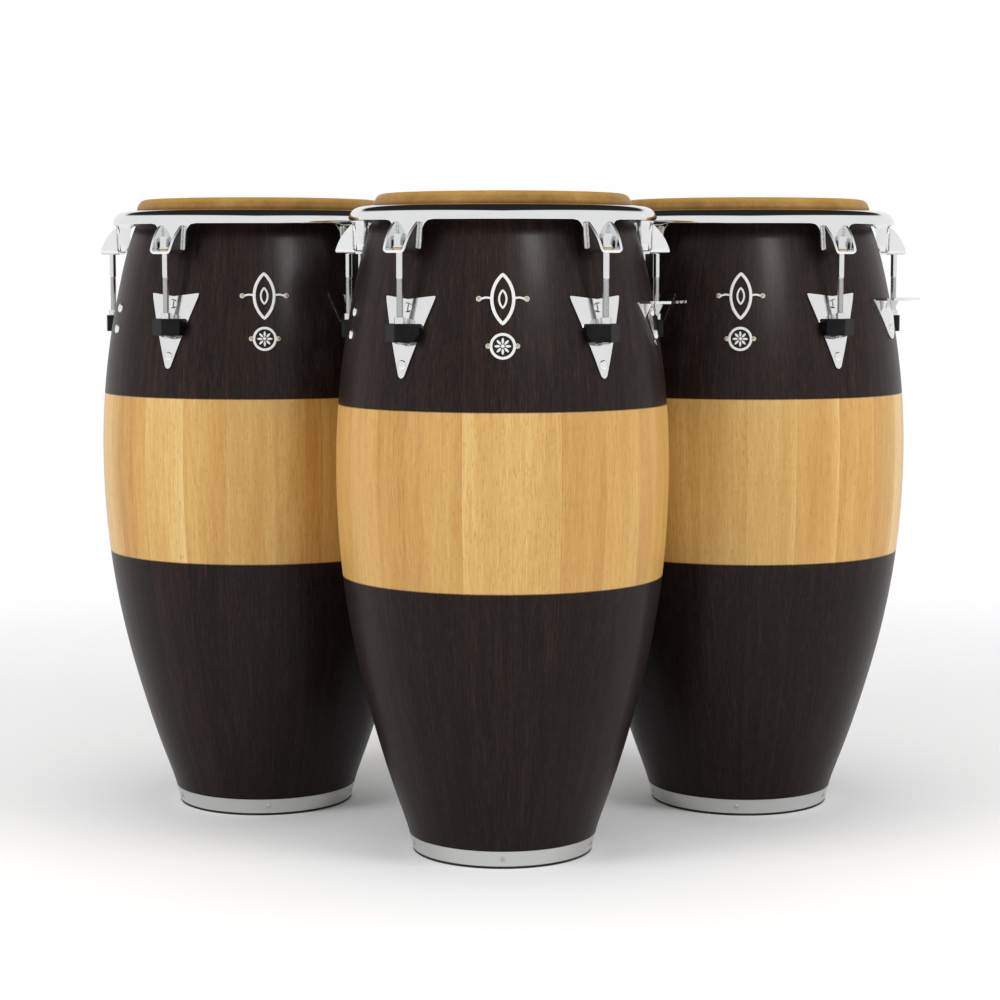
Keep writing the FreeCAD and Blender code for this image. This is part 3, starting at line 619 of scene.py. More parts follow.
def rawhide(name, seed):
    mat = Material(name)
    place = mat.place()
    x, y, z = mat.xyz(place)
    height = mat.mul(z, 1000.0)
    radius = mat.mul(mat.math("SQRT", mat.add(mat.mul(x, x), mat.mul(y, y))), 1000.0)
    skin = mat.moved(place, mat.vec(seed * 3.1, seed * 1.7, 0.0))
    cloud = mat.noise(skin, scale=9.0, detail=4.0, rough=0.6, distortion=0.6)
    mottle = mat.noise(skin, scale=42.0, detail=4.0, rough=0.6, distortion=0.3)
    fibre = mat.noise(skin, stretch=(160.0, 420.0, 60.0), detail=4.0, rough=0.6, distortion=1.2)
    grain = mat.noise(skin, scale=1400.0, detail=3.0, rough=0.65)
    colour = mat.ramp(mat.blend((cloud, 0.5), (mottle, 0.3), (fibre, 0.2)), HIDE)
    # thinner, lighter skin where it bends over the bearing edge; dark under the hoop
    rim = mat.mul(mat.mask(height, start=755.0, end=760.5),
                  mat.mask(radius, start=120.0, end=140.0))
    colour = mat.tint(colour, srgb(196, 148, 62), rim, amount=0.55)
    collar = mat.mask(height, start=752.5, end=747.0)
    colour = mat.tint(colour, srgb(58, 36, 16), collar, amount=0.75)
    specks = mat.mask(grain, start=0.55, end=0.7)
    colour = mat.tint(colour, srgb(90, 60, 28), specks, amount=0.25)
    relief = mat.blend((grain, 0.5), (mottle, 1.2), (fibre, 0.5))
    return mat.finish(color=colour, rough=mat.linear(mottle, gain=0.22, base=0.36), spec=0.22,
                      normal=mat.bump(relief, strength=0.35, distance=0.0006))


def metal(name, colour, rough, vary, scale, bump, local=True, spots=None, groove=False,
          metallic=1.0):
    """Metal whose roughness varies; spots add dark patches, and groove paints shade into the
    thread valleys.
    """
    mat = Material(name)
    place = mat.stretched(mat.place(local), (1, 1, 1))
    cloud = mat.noise(place, scale=scale, detail=4.0, rough=0.6)
    grain = mat.noise(place, scale=scale * 9.0, detail=2.0, rough=0.5)
    roughness = mat.add(mat.swing(cloud, vary * 2), rough, clamp=True)
    shade = mat.tint(colour, tuple(c * 0.86 for c in colour),
                     mat.mask(cloud, start=0.35, end=0.7), amount=0.25)
    if spots:
        patches = mat.noise(place, scale=scale * 5.0, detail=3.0, rough=0.7)
        patches = mat.mask(patches, start=0.52, end=0.66)
        shade = mat.tint(shade, spots, patches, amount=0.8)
        roughness = mat.add(roughness, mat.mul(patches, 0.25), clamp=True)
    if groove:
        valley = mat.attribute("groove")
        # painted shade: the thread valleys are darkened
        shade = mat.tint(shade, grey(0.05), valley, amount=0.38)
        roughness = mat.add(roughness, mat.mul(valley, 0.25), clamp=True)
    relief = mat.add(cloud, mat.mul(grain, 0.3))
    return mat.finish(color=shade, metal=metallic, rough=roughness,
                      normal=mat.bump(relief, strength=bump, distance=0.0005))


def band_metal():
    """Satin aluminium with fine brushing round the band."""
    mat = Material("satin_band")
    place = mat.place(local=False)
    x, y, z = mat.xyz(place)
    brushed = mat.vec(mat.mul(x, 6.0), mat.mul(y, 6.0), mat.mul(z, 2600.0))
    lines = mat.noise(brushed, scale=1.0, detail=3.0, rough=0.6)
    cloud = mat.noise(place, scale=22.0, detail=3.0, rough=0.6)
    return mat.finish(
        color=mat.mix(mat.mul(lines, 0.5), srgb(214, 215, 213), srgb(176, 177, 176)),
        metal=0.92,
        rough=mat.add(mat.mul(cloud, 0.15), mat.linear(lines, gain=0.12, base=0.22)),
        normal=mat.bump(lines, strength=0.12, distance=0.0002))


def rubber(name, colour, rough, scale, bump, local=True, spec=0.2):
    mat = Material(name)
    place = mat.place(local)
    grain = mat.noise(place, scale=scale, detail=3.0, rough=0.6)
    cloud = mat.noise(place, scale=scale * 0.08, detail=3.0, rough=0.6)
    paler = tuple(c * 1.7 + 0.002 for c in colour)
    return mat.finish(
        color=mat.mix(mat.mask(cloud, start=0.35, end=0.7), colour, paler),
        rough=mat.linear(cloud, gain=0.2, base=rough - 0.1), spec=spec,
        normal=mat.bump(grain, strength=bump, distance=0.0003))


DRUMS = [Drum("centre", 1.0), Drum("left", 2.0), Drum("right", 3.0)]

MAT = {
    "chrome": metal("hoop_chrome", (0.80, 0.805, 0.81),
                    rough=0.055, vary=0.035, scale=30.0, bump=0.010),
    "plate": metal("plate_chrome", grey(0.80), rough=0.07, vary=0.05, scale=55.0, bump=0.012),
    "bolt": metal("bolt_chrome", (0.76, 0.765, 0.76),
                  rough=0.14, vary=0.08, scale=160.0, bump=0.02, groove=True),
    "dome": metal("bolt_dome", (0.82, 0.82, 0.80),
                  rough=0.10, vary=0.06, scale=120.0, bump=0.02),
    "weld": metal("weld_chrome", (0.78, 0.78, 0.77),
                  rough=0.32, vary=0.24, scale=300.0, bump=0.9, spots=grey(0.05)),
    "insert": metal("insert_steel", (0.74, 0.74, 0.72),
                    rough=0.18, vary=0.10, scale=200.0, bump=0.04, local=False),
    "washer": metal("washer_brass", srgb(206, 184, 142),
                    rough=0.22, vary=0.12, scale=260.0, bump=0.05, local=False),
    "zinc": metal("zinc_screw", (0.60, 0.59, 0.56), rough=0.28, vary=0.14, scale=240.0,
                  bump=0.05, local=False, spots=(0.25, 0.23, 0.2)),
    "nut": metal("nut_zinc", (0.55, 0.55, 0.52),
                 rough=0.30, vary=0.14, scale=200.0, bump=0.05, local=False),
    "wire": metal("flesh_wire", (0.5, 0.49, 0.46),
                  rough=0.35, vary=0.14, scale=200.0, bump=0.05, local=False),
    "ornament": metal("ornament_metal", (0.80, 0.79, 0.76),
                      rough=0.36, vary=0.08, scale=140.0, bump=0.02, metallic=0.45),
    "brass": metal("pin_brass", srgb(214, 194, 150),
                   rough=0.22, vary=0.1, scale=300.0, bump=0.03),
    "cut": metal("cut_edge_chrome", (0.90, 0.90, 0.89),
                 rough=0.34, vary=0.12, scale=300.0, bump=0.08),
    "band": band_metal(),
    "foot": rubber("foot_rubber", srgb(30, 30, 31),
                   rough=0.6, scale=700.0, bump=0.3, local=False),
    "block": rubber("block_rubber", srgb(8, 8, 9),
                    rough=0.26, scale=900.0, bump=0.16, spec=0.13),
    "enamel": rubber("badge_enamel", srgb(20, 20, 20), rough=0.28, scale=900.0, bump=0.05),
}


# ----------------------------------------------------------- shell and hide
def build_shell(drum):
    foot, step_top, top, step = 3.0, 21.15, SHELL[-1][0], 1.2
    edge_r = 133.5 * drum.scale
    outside = [(drum.radius(z), z) for z in np.linspace(21.2, top, 110)]
    # the rounded top edge, between the outside and the lip
    (start_r, start_z), lip = outside[-1], (edge_r + 1.5, 759.4)
    rounding = [(start_r * (1 - t) + lip[0] * t + 0.9 * math.sin(math.pi * t),
                 start_z * (1 - t) + lip[1] * t + 0.7 * math.sin(math.pi * t))
                for t in (0.2, 0.4, 0.6, 0.8)]
    inside = [(drum.radius(z) - WALL, z) for z in np.linspace(750.0, 5.0, 60)]
    profile = [(drum.radius(foot) - WALL, foot), (drum.radius(foot) - step, foot),
               (drum.radius(step_top) - step, step_top)] + outside + rounding
    profile += [lip, (edge_r - 1.5, 758.8)] + inside
    first_raw = 4 + len(outside) + len(rounding)
    count = STAVES * 12
    start = math.radians(STAVE_PHASE - 90.0)
    verts = [p for i in range(count) for p in turn(profile, start + math.tau * i / count)]
    raw = [float(i >= first_raw or i == 0) for i in range(len(profile))] * count
    obj = piece(drum, "stave_shell", (verts, grid_faces(count, len(profile), True, True)),
                wood(drum.name + "_stained_staves", drum.seed), sharp=45.0,
                replaces="shell")
    float_attribute(obj, "raw", raw)


# hide as (radius, z): over the bearing edge and down inside the hoop, then back beneath
HIDE_OVER = [(132, 761.95), (136.5, 761.75), (139.5, 761.2), (141.8, 760.3), (143.6, 758.9),
             (145.0, 757.0), (146.2, 754.8), (147.2, 752.4), (147.9, 750.2), (148.35, 748.0),
             (148.6, 746.0), (149.0, 744.0), (150.6, 742.5)]
HIDE_UNDER = [(149.4, 740.4), (146.5, 742.8), (146.0, 746.0), (145.5, 749.0), (144.7, 751.8),
              (143.7, 754.3), (142.3, 756.6), (140.6, 758.2), (138.4, 759.2), (135.0, 759.58)]


def build_hide(drum):
    top, under, hub, growth = 762.0, 759.58, 8, drum.head_growth
    flat = 126 + growth
    profile = [(0, top)] + [(r, top) for r in np.linspace(hub, flat, 22)]
    profile += [(r + growth, z) for r, z in HIDE_OVER + HIDE_UNDER]
    profile += [(r, under) for r in np.linspace(flat, hub, 14)] + [(0, under)]
    verts, faces = lathe(profile, 288)
    # a hide is never perfectly even: low swells on the collar and rim
    for vert in verts:
        x, y, z = vert
        r = math.hypot(x, y)
        if r <= 60:
            continue
        angle = math.atan2(y, x)
        cos, sin = math.cos(angle), math.sin(angle)
        weight = min(1.0, (r - 60) / 80)
        broad = noise3(cos * 2.2 + drum.seed * 5, sin * 2.2, z * 0.02)
        small = noise3(cos * 9.0 + drum.seed * 7, sin * 9.0, z * 0.15)
        if z < 759 and r > 140:
            vert[:2] *= 1 + (0.22 * broad + 0.12 * small) * weight / r
        elif z > 761:
            vert[2] -= abs(0.12 * broad + 0.05 * small) * weight
    obj = piece(drum, "hide", (verts, flipped(faces)),
                rawhide(drum.name + "_rawhide", drum.seed), sharp=60.0, body=None,
                replaces="drumhead")
    x, y = drum.x * MM, drum.y * MM
    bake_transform(obj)


# --------------------------------------------------------------------- hoop
def half_tongue():
    """Half a tongue's outline as (offset from the lug, z), ending near the middle."""
    root = np.array([TONGUE_HALF_TOP, SKIRT_Z])
    foot = np.array([TONGUE_HALF_BOTTOM, TONGUE_Z])
    side = unit(foot - root)
    upper = fillet(root, np.array([1.0, 0.0]), side, TONGUE_FILLET, 14)
    lower = fillet(foot, -side, np.array([-1.0, 0.0]), TONGUE_CORNER, 8)
    straight = [upper[-1] + (lower[0] - upper[-1]) * t for t in (0.25, 0.5, 0.75)]
    return [tuple(p) for p in upper + straight + lower] + [(9.0, TONGUE_Z), (4.0, TONGUE_Z)]


def skirt_edge(drum):
    """Lower edge of the skirt as (azimuth, z), once round."""
    half = half_tongue()
    outline = [(-s, z) for s, z in half] + [(0.0, TONGUE_Z)] + half[::-1]
    reach = math.degrees(math.asin(half[0][0] / drum.hoop_r))
    lugs = sorted(lug % 360.0 for lug in LUGS)
    steps = 36
    edge = []
    for lug, after in zip(lugs, lugs[1:] + [lugs[0] + 360.0]):
        edge += [(lug + math.degrees(math.asin(s / drum.hoop_r)), z) for s, z in outline]
        start, end = lug + reach, after - reach
        edge += [(start + (end - start) * i / steps, SKIRT_Z) for i in range(1, steps)]
    return edge


def skirt_wall(bottom):
    """One side of the skirt as (inset, z), down to its rounded lower edge."""
    depth = SKIRT_Z - bottom
    deep = depth > 0.95
    drop = depth - 0.9 if deep else 0.02
    rises = (0.7, 0.2, 0.0) if deep else (0.0, -0.5, -0.8)
    return [(0.0, SKIRT_Z - drop * t) for t in (0.25, 0.5, 0.75)] + \
        [(inset, bottom + rise) for inset, rise in zip((0.0, 0.2, 0.75), rises)]


def build_hoop(drum):
    outer = smooth_curve([drum.hoop_point(*p) for p in HOOP_OUT])
    inner = smooth_curve([drum.hoop_point(*p) for p in HOOP_IN])
    outer_r, inner_r = outer[-1][0], inner[-1][0]
    bore, top, under = outer[0][0], outer[0][1], inner[0][1]
    bore_top = [(bore, top - 1.5), (bore + 0.25, top - 0.45), (bore + 0.9, top - 0.05)]
    bore_under = [(bore + 0.9, under + 0.05), (bore + 0.25, under + 0.45)]
    verts = []
    edge = skirt_edge(drum)
    for azimuth, bottom in edge:
        wall = skirt_wall(bottom)
        section = bore_top + list(outer[2:]) + [(outer_r - inset, z) for inset, z in wall]
        section += [(inner_r + inset, z) for inset, z in reversed(wall)]
        section += list(inner[::-1][:-2]) + bore_under
        verts += turn(section, math.radians(azimuth - 90.0))
    faces = flipped(grid_faces(len(edge), len(section), True, True))
    piece(drum, "hoop_pressing", (verts, faces), MAT["chrome"], sharp=50.0,
          body="hoop", replaces="tuning_hoop")


# arc of the cup's lip as (distance outside the skirt, z)
LIP_X, LIP_Z, LIP_R = circle_through((CUP_OUT, CUP_Z + 3), (16.2, CUP_Z + 19), (2.0, CUP_TOP))


def cup_front(z):
    """How far the cup's lip stands outside the skirt radius."""
    if z <= CUP_Z + 3:
        return CUP_OUT - 1.2 * (CUP_Z + 3 - z) / 4.0
    return LIP_X + math.sqrt(LIP_R ** 2 - (z - LIP_Z) ** 2)


def build_cups(drum):
    # centre line of the bent strap in the front view, as (x, z)
    foot = np.array([CUP_HALF_BOTTOM - CUP_T / 2, CUP_Z + CUP_T / 2])
    head = np.array([CUP_HALF_TOP - CUP_T / 2, CUP_TOP])
    arc = fillet(foot, np.array([-1.0, 0.0]), unit(head - foot), CUP_CORNER - CUP_T / 2, 9)
    right = [np.array([x, foot[1]]) for x in (0.0, 3.0, 6.0)] + arc
    right += [arc[-1] + (head - arc[-1]) * t for t in np.linspace(0.08, 1.0, 12)]
    path = np.array([np.array([-x, z]) for x, z in reversed(right[1:])] + right)
    tangents = np.gradient(path, axis=0)
    tangents /= np.linalg.norm(tangents, axis=1)[:, None]
    outward = np.stack([tangents[:, 1], -tangents[:, 0]], 1)
    verts = []
    for centre, normal in zip(path, outward):
        for sign in (1, -1):
            x, z = centre + sign * normal * CUP_T / 2
            z = min(z, CUP_TOP)
            back = math.sqrt((drum.hoop_r + 0.02) ** 2 - x * x)
            front = drum.hoop_r + cup_front(z)
            row = [(x, -back, z), (x, -(front + back) / 2, z), (x, -front, z)]
            verts += row[::sign]
    size = 6
    faces = flipped(tube_faces(len(path), size))
    # the sheared front edge is the third strip of every row
    lips = [cup * len(faces) + i * size + 2
            for cup in range(len(LUGS)) for i in range(len(path) - 1)]
    piece(drum, "lug_cups", at_lugs(verts, faces), MAT["chrome"], sharp=40.0,
          body="hoop", bevel=0.5, cut_faces=lips)


# (bottom z, top z, bead radius, offset from the cup's outer face), outside then inside
WELDS = [(698.5, 727.0, 1.65, 1.5), (700.0, 724.0, 1.1, -CUP_T - 0.5)]


def build_welds(drum):
    """Rough beads that join each cheek to its tongue, inside and outside."""
    rng = np.random.RandomState(int(drum.seed * 100))
    rows, around = 44, 14
    parts = []
    for lug, sign, weld in [(lug, sign, w) for lug in LUGS for sign in (-1, 1) for w in WELDS]:
        bottom, top, bead, offset = weld
        phase = rng.rand() * 100
        verts = []
        for i in range(rows):
            height = bottom + (top - bottom) * (i / (rows - 1))
            half = CUP_HALF_BOTTOM + (CUP_HALF_TOP - CUP_HALF_BOTTOM) \
                * (height - CUP_Z) / (CUP_TOP - CUP_Z)
            x = sign * (half + offset)
            radius = bead * (0.78 + 0.3 * abs(math.sin(i * 1.35 + phase)) + 0.2 * rng.rand())
            if i in (0, rows - 1):
                radius *= 0.25
            out = math.sqrt((drum.hoop_r + 0.3) ** 2 - x * x)
            for j in range(around):
                angle = math.tau * j / around
                cos, sin = math.cos(angle), math.sin(angle)
                r = radius * (1 + 0.34 * noise3(i * 0.9 + phase, cos * 2.2, sin * 2.2 + lug))
                verts.append((x + r * cos, -(out + r * 0.75 * sin),
                              height + 0.3 * math.sin(angle * 3 + i)))
        parts.append((at_azimuth(verts, lug), tube_faces(rows, around)))
    piece(drum, "weld_beads", join(parts), MAT["weld"], sharp=80.0, body="hoop")


# ------------------------------------------------------------- tuning bolts
HEX_HALF = 12.7 / 2          # half the width across flats
HEX_TOP = 714.9
CORE_R = 3.32                # thread core
NECK_Z = 665.6               # where the shank meets the thread
# plain shank and flange as (radius, z)
BOLT_SHANK = [(4.0, 666.6), (4.0, 672.0), (4.0, 699.65), (6.9, 699.65), (7.4, 699.9),
              (7.4, 700.8), (7.15, 701.3), (6.95, 702.25)]
BOLT_TOP = [(HEX_HALF - 0.55, HEX_TOP - 0.02), (HEX_HALF - 1.0, HEX_TOP), (4.9, HEX_TOP),
            (4.5, HEX_TOP - 0.35), (2.0, HEX_TOP - 0.38)]


def bolt_head(phase):
    """Hexagon with chamfered corners, its flange and the plain shank."""
    count = 96
    verts = []
    for i in range(count):
        angle = math.tau * i / count
        from_flat = angle % (math.pi / 3) - math.pi / 6
        hex_r = min(HEX_HALF / math.cos(from_flat), HEX_HALF / math.cos(math.pi / 6) - 0.12)
        chamfer = HEX_TOP - (hex_r - (HEX_HALF - 0.1)) / 1.75
        section = BOLT_SHANK + [(hex_r, 702.3), (hex_r, 706.0), (hex_r, chamfer - 0.25),
                                (hex_r - 0.08, chamfer)] + BOLT_TOP
        verts += turn(section, angle + phase)
    size, total = len(section), len(verts)
    faces = grid_faces(count, size, close_rows=True)
    verts.append((0, 0, HEX_TOP - 0.38))
    faces += fan(total, range(size - 1, total, size))
    neck = total + 1
    for i in range(count):
        verts += turn([(CORE_R, NECK_Z)], math.tau * i / count + phase)
        after = (i + 1) % count
        faces.append((i * size, neck + i, neck + after, after * size))
    verts.append((0, 0, NECK_Z))
    return verts, faces + fan(neck + count, range(neck, neck + count), flip=True)


def bolt_thread():
    """Helical ridge on the core, fading out at both ends."""
    per_turn = 24
    steps = per_turn * int((665.8 - 594.6) / BOLT_PITCH)
    root = CORE_R - 0.5
    verts = []
    for i in range(steps + 1):
        z = 594.9 + BOLT_PITCH * i / per_turn
        fade = min(1.0, i / (per_turn * 1.2), (steps - i) / per_turn)
        crest = CORE_R + 0.54 * max(fade, 0.02)
        verts += turn([(root, z - 0.62), (CORE_R, z - 0.60), (crest, z - 0.10),
                       (crest, z + 0.10), (CORE_R, z + 0.60), (root, z + 0.62)],
                      math.tau * i / per_turn)
    return verts, flipped(tube_faces(steps + 1, 6))


def bolt_mesh(phase):
    verts, faces = lathe([(0, 594.0), (2.5, 594.0), (3.1, 594.35), (CORE_R + 0.02, 595.0),
                          (CORE_R + 0.02, 665.9), (0, 665.9)], 32)
    return join([bolt_head(phase), bolt_thread(), (verts, flipped(faces))])


def build_bolts(drum):
    for i, lug in enumerate(LUGS):
        verts, faces = bolt_mesh(math.radians(12.0 + 17.0 * i))
        placed = at_azimuth(verts - np.array([0.0, drum.bolt_r, 0.0]), lug)
        obj = piece(drum, "tuning_bolt_%d_threaded" % (i + 1), (placed, faces), MAT["bolt"],
                    sharp=28.0, body="bolt_%d" % (i + 1),
                    replaces="tuning_bolt_%d" % (i + 1))
        # "groove" is 1 in the thread valleys and 0 on the crests; it places the painted shade
        radii, z = np.hypot(verts[:, 0], verts[:, 1]), verts[:, 2]
        threaded = (z < 665.95) & (z > 594.6)
        float_attribute(obj, "groove",
                        np.where(threaded, np.clip((3.78 - radii) / 0.44, 0.0, 1.0), 0.0))


# ------------------------------------------------------- plates and blocks
def plate_mesh(drum, corner_z, notch_z, bottom, half_top, half_bottom, crease):
    """Tapering plate that follows the shell, with rounded corners and a soft centre crease."""
    rows, columns = 64, 28
    front, back = [], []
    for i in range(rows + 1):
        t = i / rows
        for j in range(columns + 1):
            side = -1 + 2 * j / columns
            top = corner_z + (notch_z - corner_z) * (1 - abs(side))
            z = bottom + (top - bottom) * t
            x = side * (half_bottom + (half_top - half_bottom) * t)
            rise = z - bottom
            if rise < half_bottom:  # rounded lower tip
                fullness = 1 - ((half_bottom - rise) / half_bottom) ** 2
                x *= math.sqrt(fullness) * 0.75 + 0.25
            if t > 0.9 and abs(side) > 0.9:  # rounded upper corners
                beyond = ((t - 0.9) / 0.1) ** 2 + ((abs(side) - 0.9) / 0.1) ** 2 - 1
                beyond = max(0.0, beyond)
                x -= math.copysign(beyond * 0.91, side)
                z -= beyond * 0.78
            ridge = crease * max(0.0, 1 - abs(x) / 16.0)
            front.append(drum.on_shell(x, z, GAP + PLATE_T + ridge))
            back.append(drum.on_shell(x, z, GAP))
    base, width = len(front), columns + 1
    quads = grid_faces(rows + 1, width)
    faces = [(a, d, c, b) for a, b, c, d in quads] + shifted(quads, base)
    rim = list(range(width)) + [i * width + columns for i in range(1, rows + 1)]
    rim += [rows * width + j for j in range(columns - 1, -1, -1)]
    rim += [i * width for i in range(rows - 1, 0, -1)]
    faces += [(a, base + a, base + b, b) for a, b in zip(rim, rim[1:] + rim[:1])]
    return front + back, faces


def build_plates(drum):
    mesh = plate_mesh(drum, corner_z=648.0, notch_z=644.0, bottom=558.0, half_top=35.0,
                      half_bottom=3.2, crease=0.35)
    piece(drum, "side_plate_set", at_lugs(*mesh), MAT["plate"], sharp=40.0,
          replaces="side_plates", bevel=0.45)


# half a block's front as (distance from the middle, distance outside the bolt axis)
BLOCK_FRONT = [(22.7, -5.0), (20.0, 1.2), (10.0, 5.2), (4.5, 7.9), (0.0, 9.5)]


def build_blocks(drum):
    bottom, top = 597.4, 617.5
    levels = [bottom, bottom + 4, bottom + 10, bottom + 16, top]
    # the two end sections are shorter
    end_height = top - bottom - 14.5
    end_levels = [bottom + 9.0 + (z - bottom) * end_height / (top - bottom) for z in levels]
    stations = [(-x, out) for x, out in BLOCK_FRONT] + BLOCK_FRONT[-2::-1]
    verts = []
    for x, out in stations:
        heights = end_levels if abs(x) == BLOCK_FRONT[0][0] else levels
        verts += [drum.on_shell(x, z, 2.5) for z in heights]
        verts += [(x, -(drum.bolt_r + out), z) for z in reversed(heights)]
    mesh = at_lugs(verts, tube_faces(len(stations), 2 * len(levels)))
    piece(drum, "receiver_block_set", mesh, MAT["block"], sharp=30.0,
          replaces="receiver_blocks", bevel=1.5, bevel_segments=4)


def dome(radius, height):
    profile = [(0, -0.6), (radius, -0.6), (radius, 0.15), (radius * 0.985, 0.35)]
    for t in np.linspace(0.12, 1.0, 10):
        angle = t * math.pi / 2
        profile.append((radius * math.cos(angle) ** 0.85 if t < 1 else 0,
                        0.3 + (height - 0.3) * math.sin(angle)))
    return lathe(profile, 40)


def build_domes(drum):
    """Domed bolt heads outside the shell, and shanks through its wall."""
    common = dome(5.6, 2.6)
    heads = [set_on(drum, lug, z, GAP + PLATE_T + 0.25, common)
             for lug in LUGS for z in PLATE_BOLTS_Z]
    for z in SIDE_BOLTS_Z:
        heads.append(set_on(drum, SIDE, z, GAP + PLATE_T, common))
        heads.append(set_on(drum, -SIDE, z, GAP, dome(5.8, 2.9)))
    shank = lathe([(0, -WALL - 7.6), (2.5, -WALL - 7.6), (3.0, -WALL - 7.1), (3.0, 2.0),
                   (0, 2.0)], 20)
    places = [(lug, z) for lug in LUGS for z in (*PLATE_BOLTS_Z, BLOCK_BOLT_Z)]
    places += [(azimuth, z) for azimuth in (-SIDE, SIDE) for z in SIDE_BOLTS_Z]
    shanks = join([set_on(drum, azimuth, z, 0.0, shank) for azimuth, z in places])
    piece(drum, "bolt_shanks", shanks, MAT["dome"], sharp=40)
    piece(drum, "bolt_domes", join(heads), MAT["dome"], sharp=50.0,
          replaces="shell_bolts")


# ------------------------------------------------------- protector bracket
BRACKET_Z = 641.0            # top of the shelf
SHELF_HALF = 45.0
# rounded outer corner of the shelf as (inset from its side, distance behind its front)
SHELF_CORNER = [(0.0, 12.0), (1.2, 6.0), (4.5, 2.0), (10.0, 0.0)]
# gusset side view as (distance outside the shell, height from the shelf top)
GUSSET = [(0.0, -2.0), (13.0, -2.0), (4.2, -20.0), (3.0, -20.5)]


def bracket_shelf(drum):
    front = drum.hoop_r + 31.5
    loop = []
    for x in np.linspace(-SHELF_HALF + 8, SHELF_HALF - 8, 19):
        loop.append(drum.on_shell(x, BRACKET_Z, 0.3)[:2])
    corner = [(SHELF_HALF - inset, -(front - behind)) for inset, behind in SHELF_CORNER]
    loop += corner + [(-x, y) for x, y in reversed(corner)]
    count = len(loop)
    verts = [(x, y, z) for z in (BRACKET_Z - 3.0, BRACKET_Z) for x, y in loop]
    faces = [tuple(range(count)), tuple(range(2 * count - 1, count - 1, -1))]
    for i in range(count):
        after = (i + 1) % count
        faces.append((count + i, count + after, after, i))
    return verts, faces


def bracket_gusset(drum, x):
    wall_y = drum.on_shell(x, BRACKET_Z, 1.0)[1]
    verts = [(x + side, wall_y - out, BRACKET_Z + drop)
             for side in (-1.2, 1.2) for out, drop in GUSSET]
    faces = [(0, 1, 2, 3), (7, 6, 5, 4)]
    return verts, faces + [((i + 1) % 4, i, 4 + i, 4 + (i + 1) % 4) for i in range(4)]


def build_protector(drum):
    plate = plate_mesh(drum, corner_z=BRACKET_Z - 1.0, notch_z=BRACKET_Z - 1.0, bottom=591.0,
                       half_top=40.0, half_bottom=9.0, crease=0.0)
    verts, faces = join([plate, bracket_shelf(drum), bracket_gusset(drum, -27.0),
                         bracket_gusset(drum, 27.0)])
    piece(drum, "protector_bracket", (at_azimuth(verts, SIDE), faces), MAT["plate"],
          sharp=35.0, replaces="shell_protector", bevel=0.5)


# --------------------------------------------------------- front ornaments
EYE_Z, EYE_HALF_HEIGHT, EYE_HALF_WIDTH = 644.5, 28.5, 13.5
EYE_BOSS_X = 25.75
BADGE_Z, BADGE_R, DISC_R = 594.0, 12.75, 11.6
BADGE_BOSS_X = 15.8
BOSS_HEIGHTS = (0.0, 0.9, 1.45, 1.55)
# (z, distance from the middle) of the bosses, left and right of each ornament
BOSSES = [(EYE_Z, -EYE_BOSS_X), (EYE_Z, EYE_BOSS_X),
          (BADGE_Z, -BADGE_BOSS_X), (BADGE_Z, BADGE_BOSS_X)]
# ribbon section as (fraction of the half width, fraction of the thickness), crowned
RIBBON_SECTION = [(-1, 0), (-1, 0.84), (-0.88, 1.0), (-0.4, 1.032), (0, 1.04), (0.4, 1.032),
                  (0.88, 1.0), (1, 0.84), (1, 0)]


def ribbon(drum, points, width, thick, closed=False, lift=GAP):
    """Flat bar along a curve of (x, z) points drawn on the shell."""
    points = np.array(points, float)
    count = len(points)
    if closed:
        tangents = np.roll(points, -1, 0) - np.roll(points, 1, 0)
    else:
        tangents = np.gradient(points, axis=0)
    tangents /= np.linalg.norm(tangents, axis=1)[:, None]
    normals = np.stack([-tangents[:, 1], tangents[:, 0]], 1)
    widths = np.broadcast_to(np.asarray(width, float), (count,))
    verts = []
    for point, normal, across in zip(points, normals, widths):
        for side, height in RIBBON_SECTION:
            x, z = point + normal * side * across / 2
            verts.append(drum.on_shell(x, z, lift + thick * height))
    size = len(RIBBON_SECTION)
    faces = grid_faces(count, size, True, True) if closed else tube_faces(count, size)
    return verts, flipped(faces)


def eye_outline(half_height, half_width, count):
    """Pointed oval made of two arcs, as (x, z)."""
    radius = (half_width ** 2 + half_height ** 2) / (2 * half_width)
    reach = math.asin(half_height / radius)
    right = [(half_width - radius + radius * math.cos(a), radius * math.sin(a))
             for a in np.linspace(-reach, reach, count)]
    left = [(-x, z) for x, z in reversed(right[1:-1])]
    return [(x, z + EYE_Z) for x, z in right + left]


def boss(drum, z, x, radii):
    profile = [(0, 0.0), *zip(radii, BOSS_HEIGHTS), (0, BOSS_HEIGHTS[-1])]
    return set_on(drum, boss_azimuth(drum, z, x), z, GAP, lathe(profile, 28))


def boss_azimuth(drum, z, x):
    return math.degrees(math.asin(x / drum.radius(z)))


def eye_parts(drum):
    """Two pointed ovals, one in the other, with an arched arm and a boss each side."""
    outer = eye_outline(EYE_HALF_HEIGHT - 2.0, EYE_HALF_WIDTH - 1.7, 40)
    parts = [ribbon(drum, outer, width=3.6, thick=1.5, closed=True),
             ribbon(drum, eye_outline(9.5, 4.0, 16), width=2.2, thick=1.4, closed=True)]
    start, end = EYE_HALF_WIDTH - 2.5, EYE_BOSS_X - 1.8
    for sign in (-1, 1):
        arm = [(sign * (start + (end - start) * t), EYE_Z + 1.6 * math.sin(t * math.pi))
               for t in np.linspace(0, 1, 18)]
        parts.append(ribbon(drum, arm, width=2.4, thick=1.3))
        parts.append(boss(drum, EYE_Z, sign * EYE_BOSS_X, (3.0, 3.1, 2.7, 1.6)))
    return parts


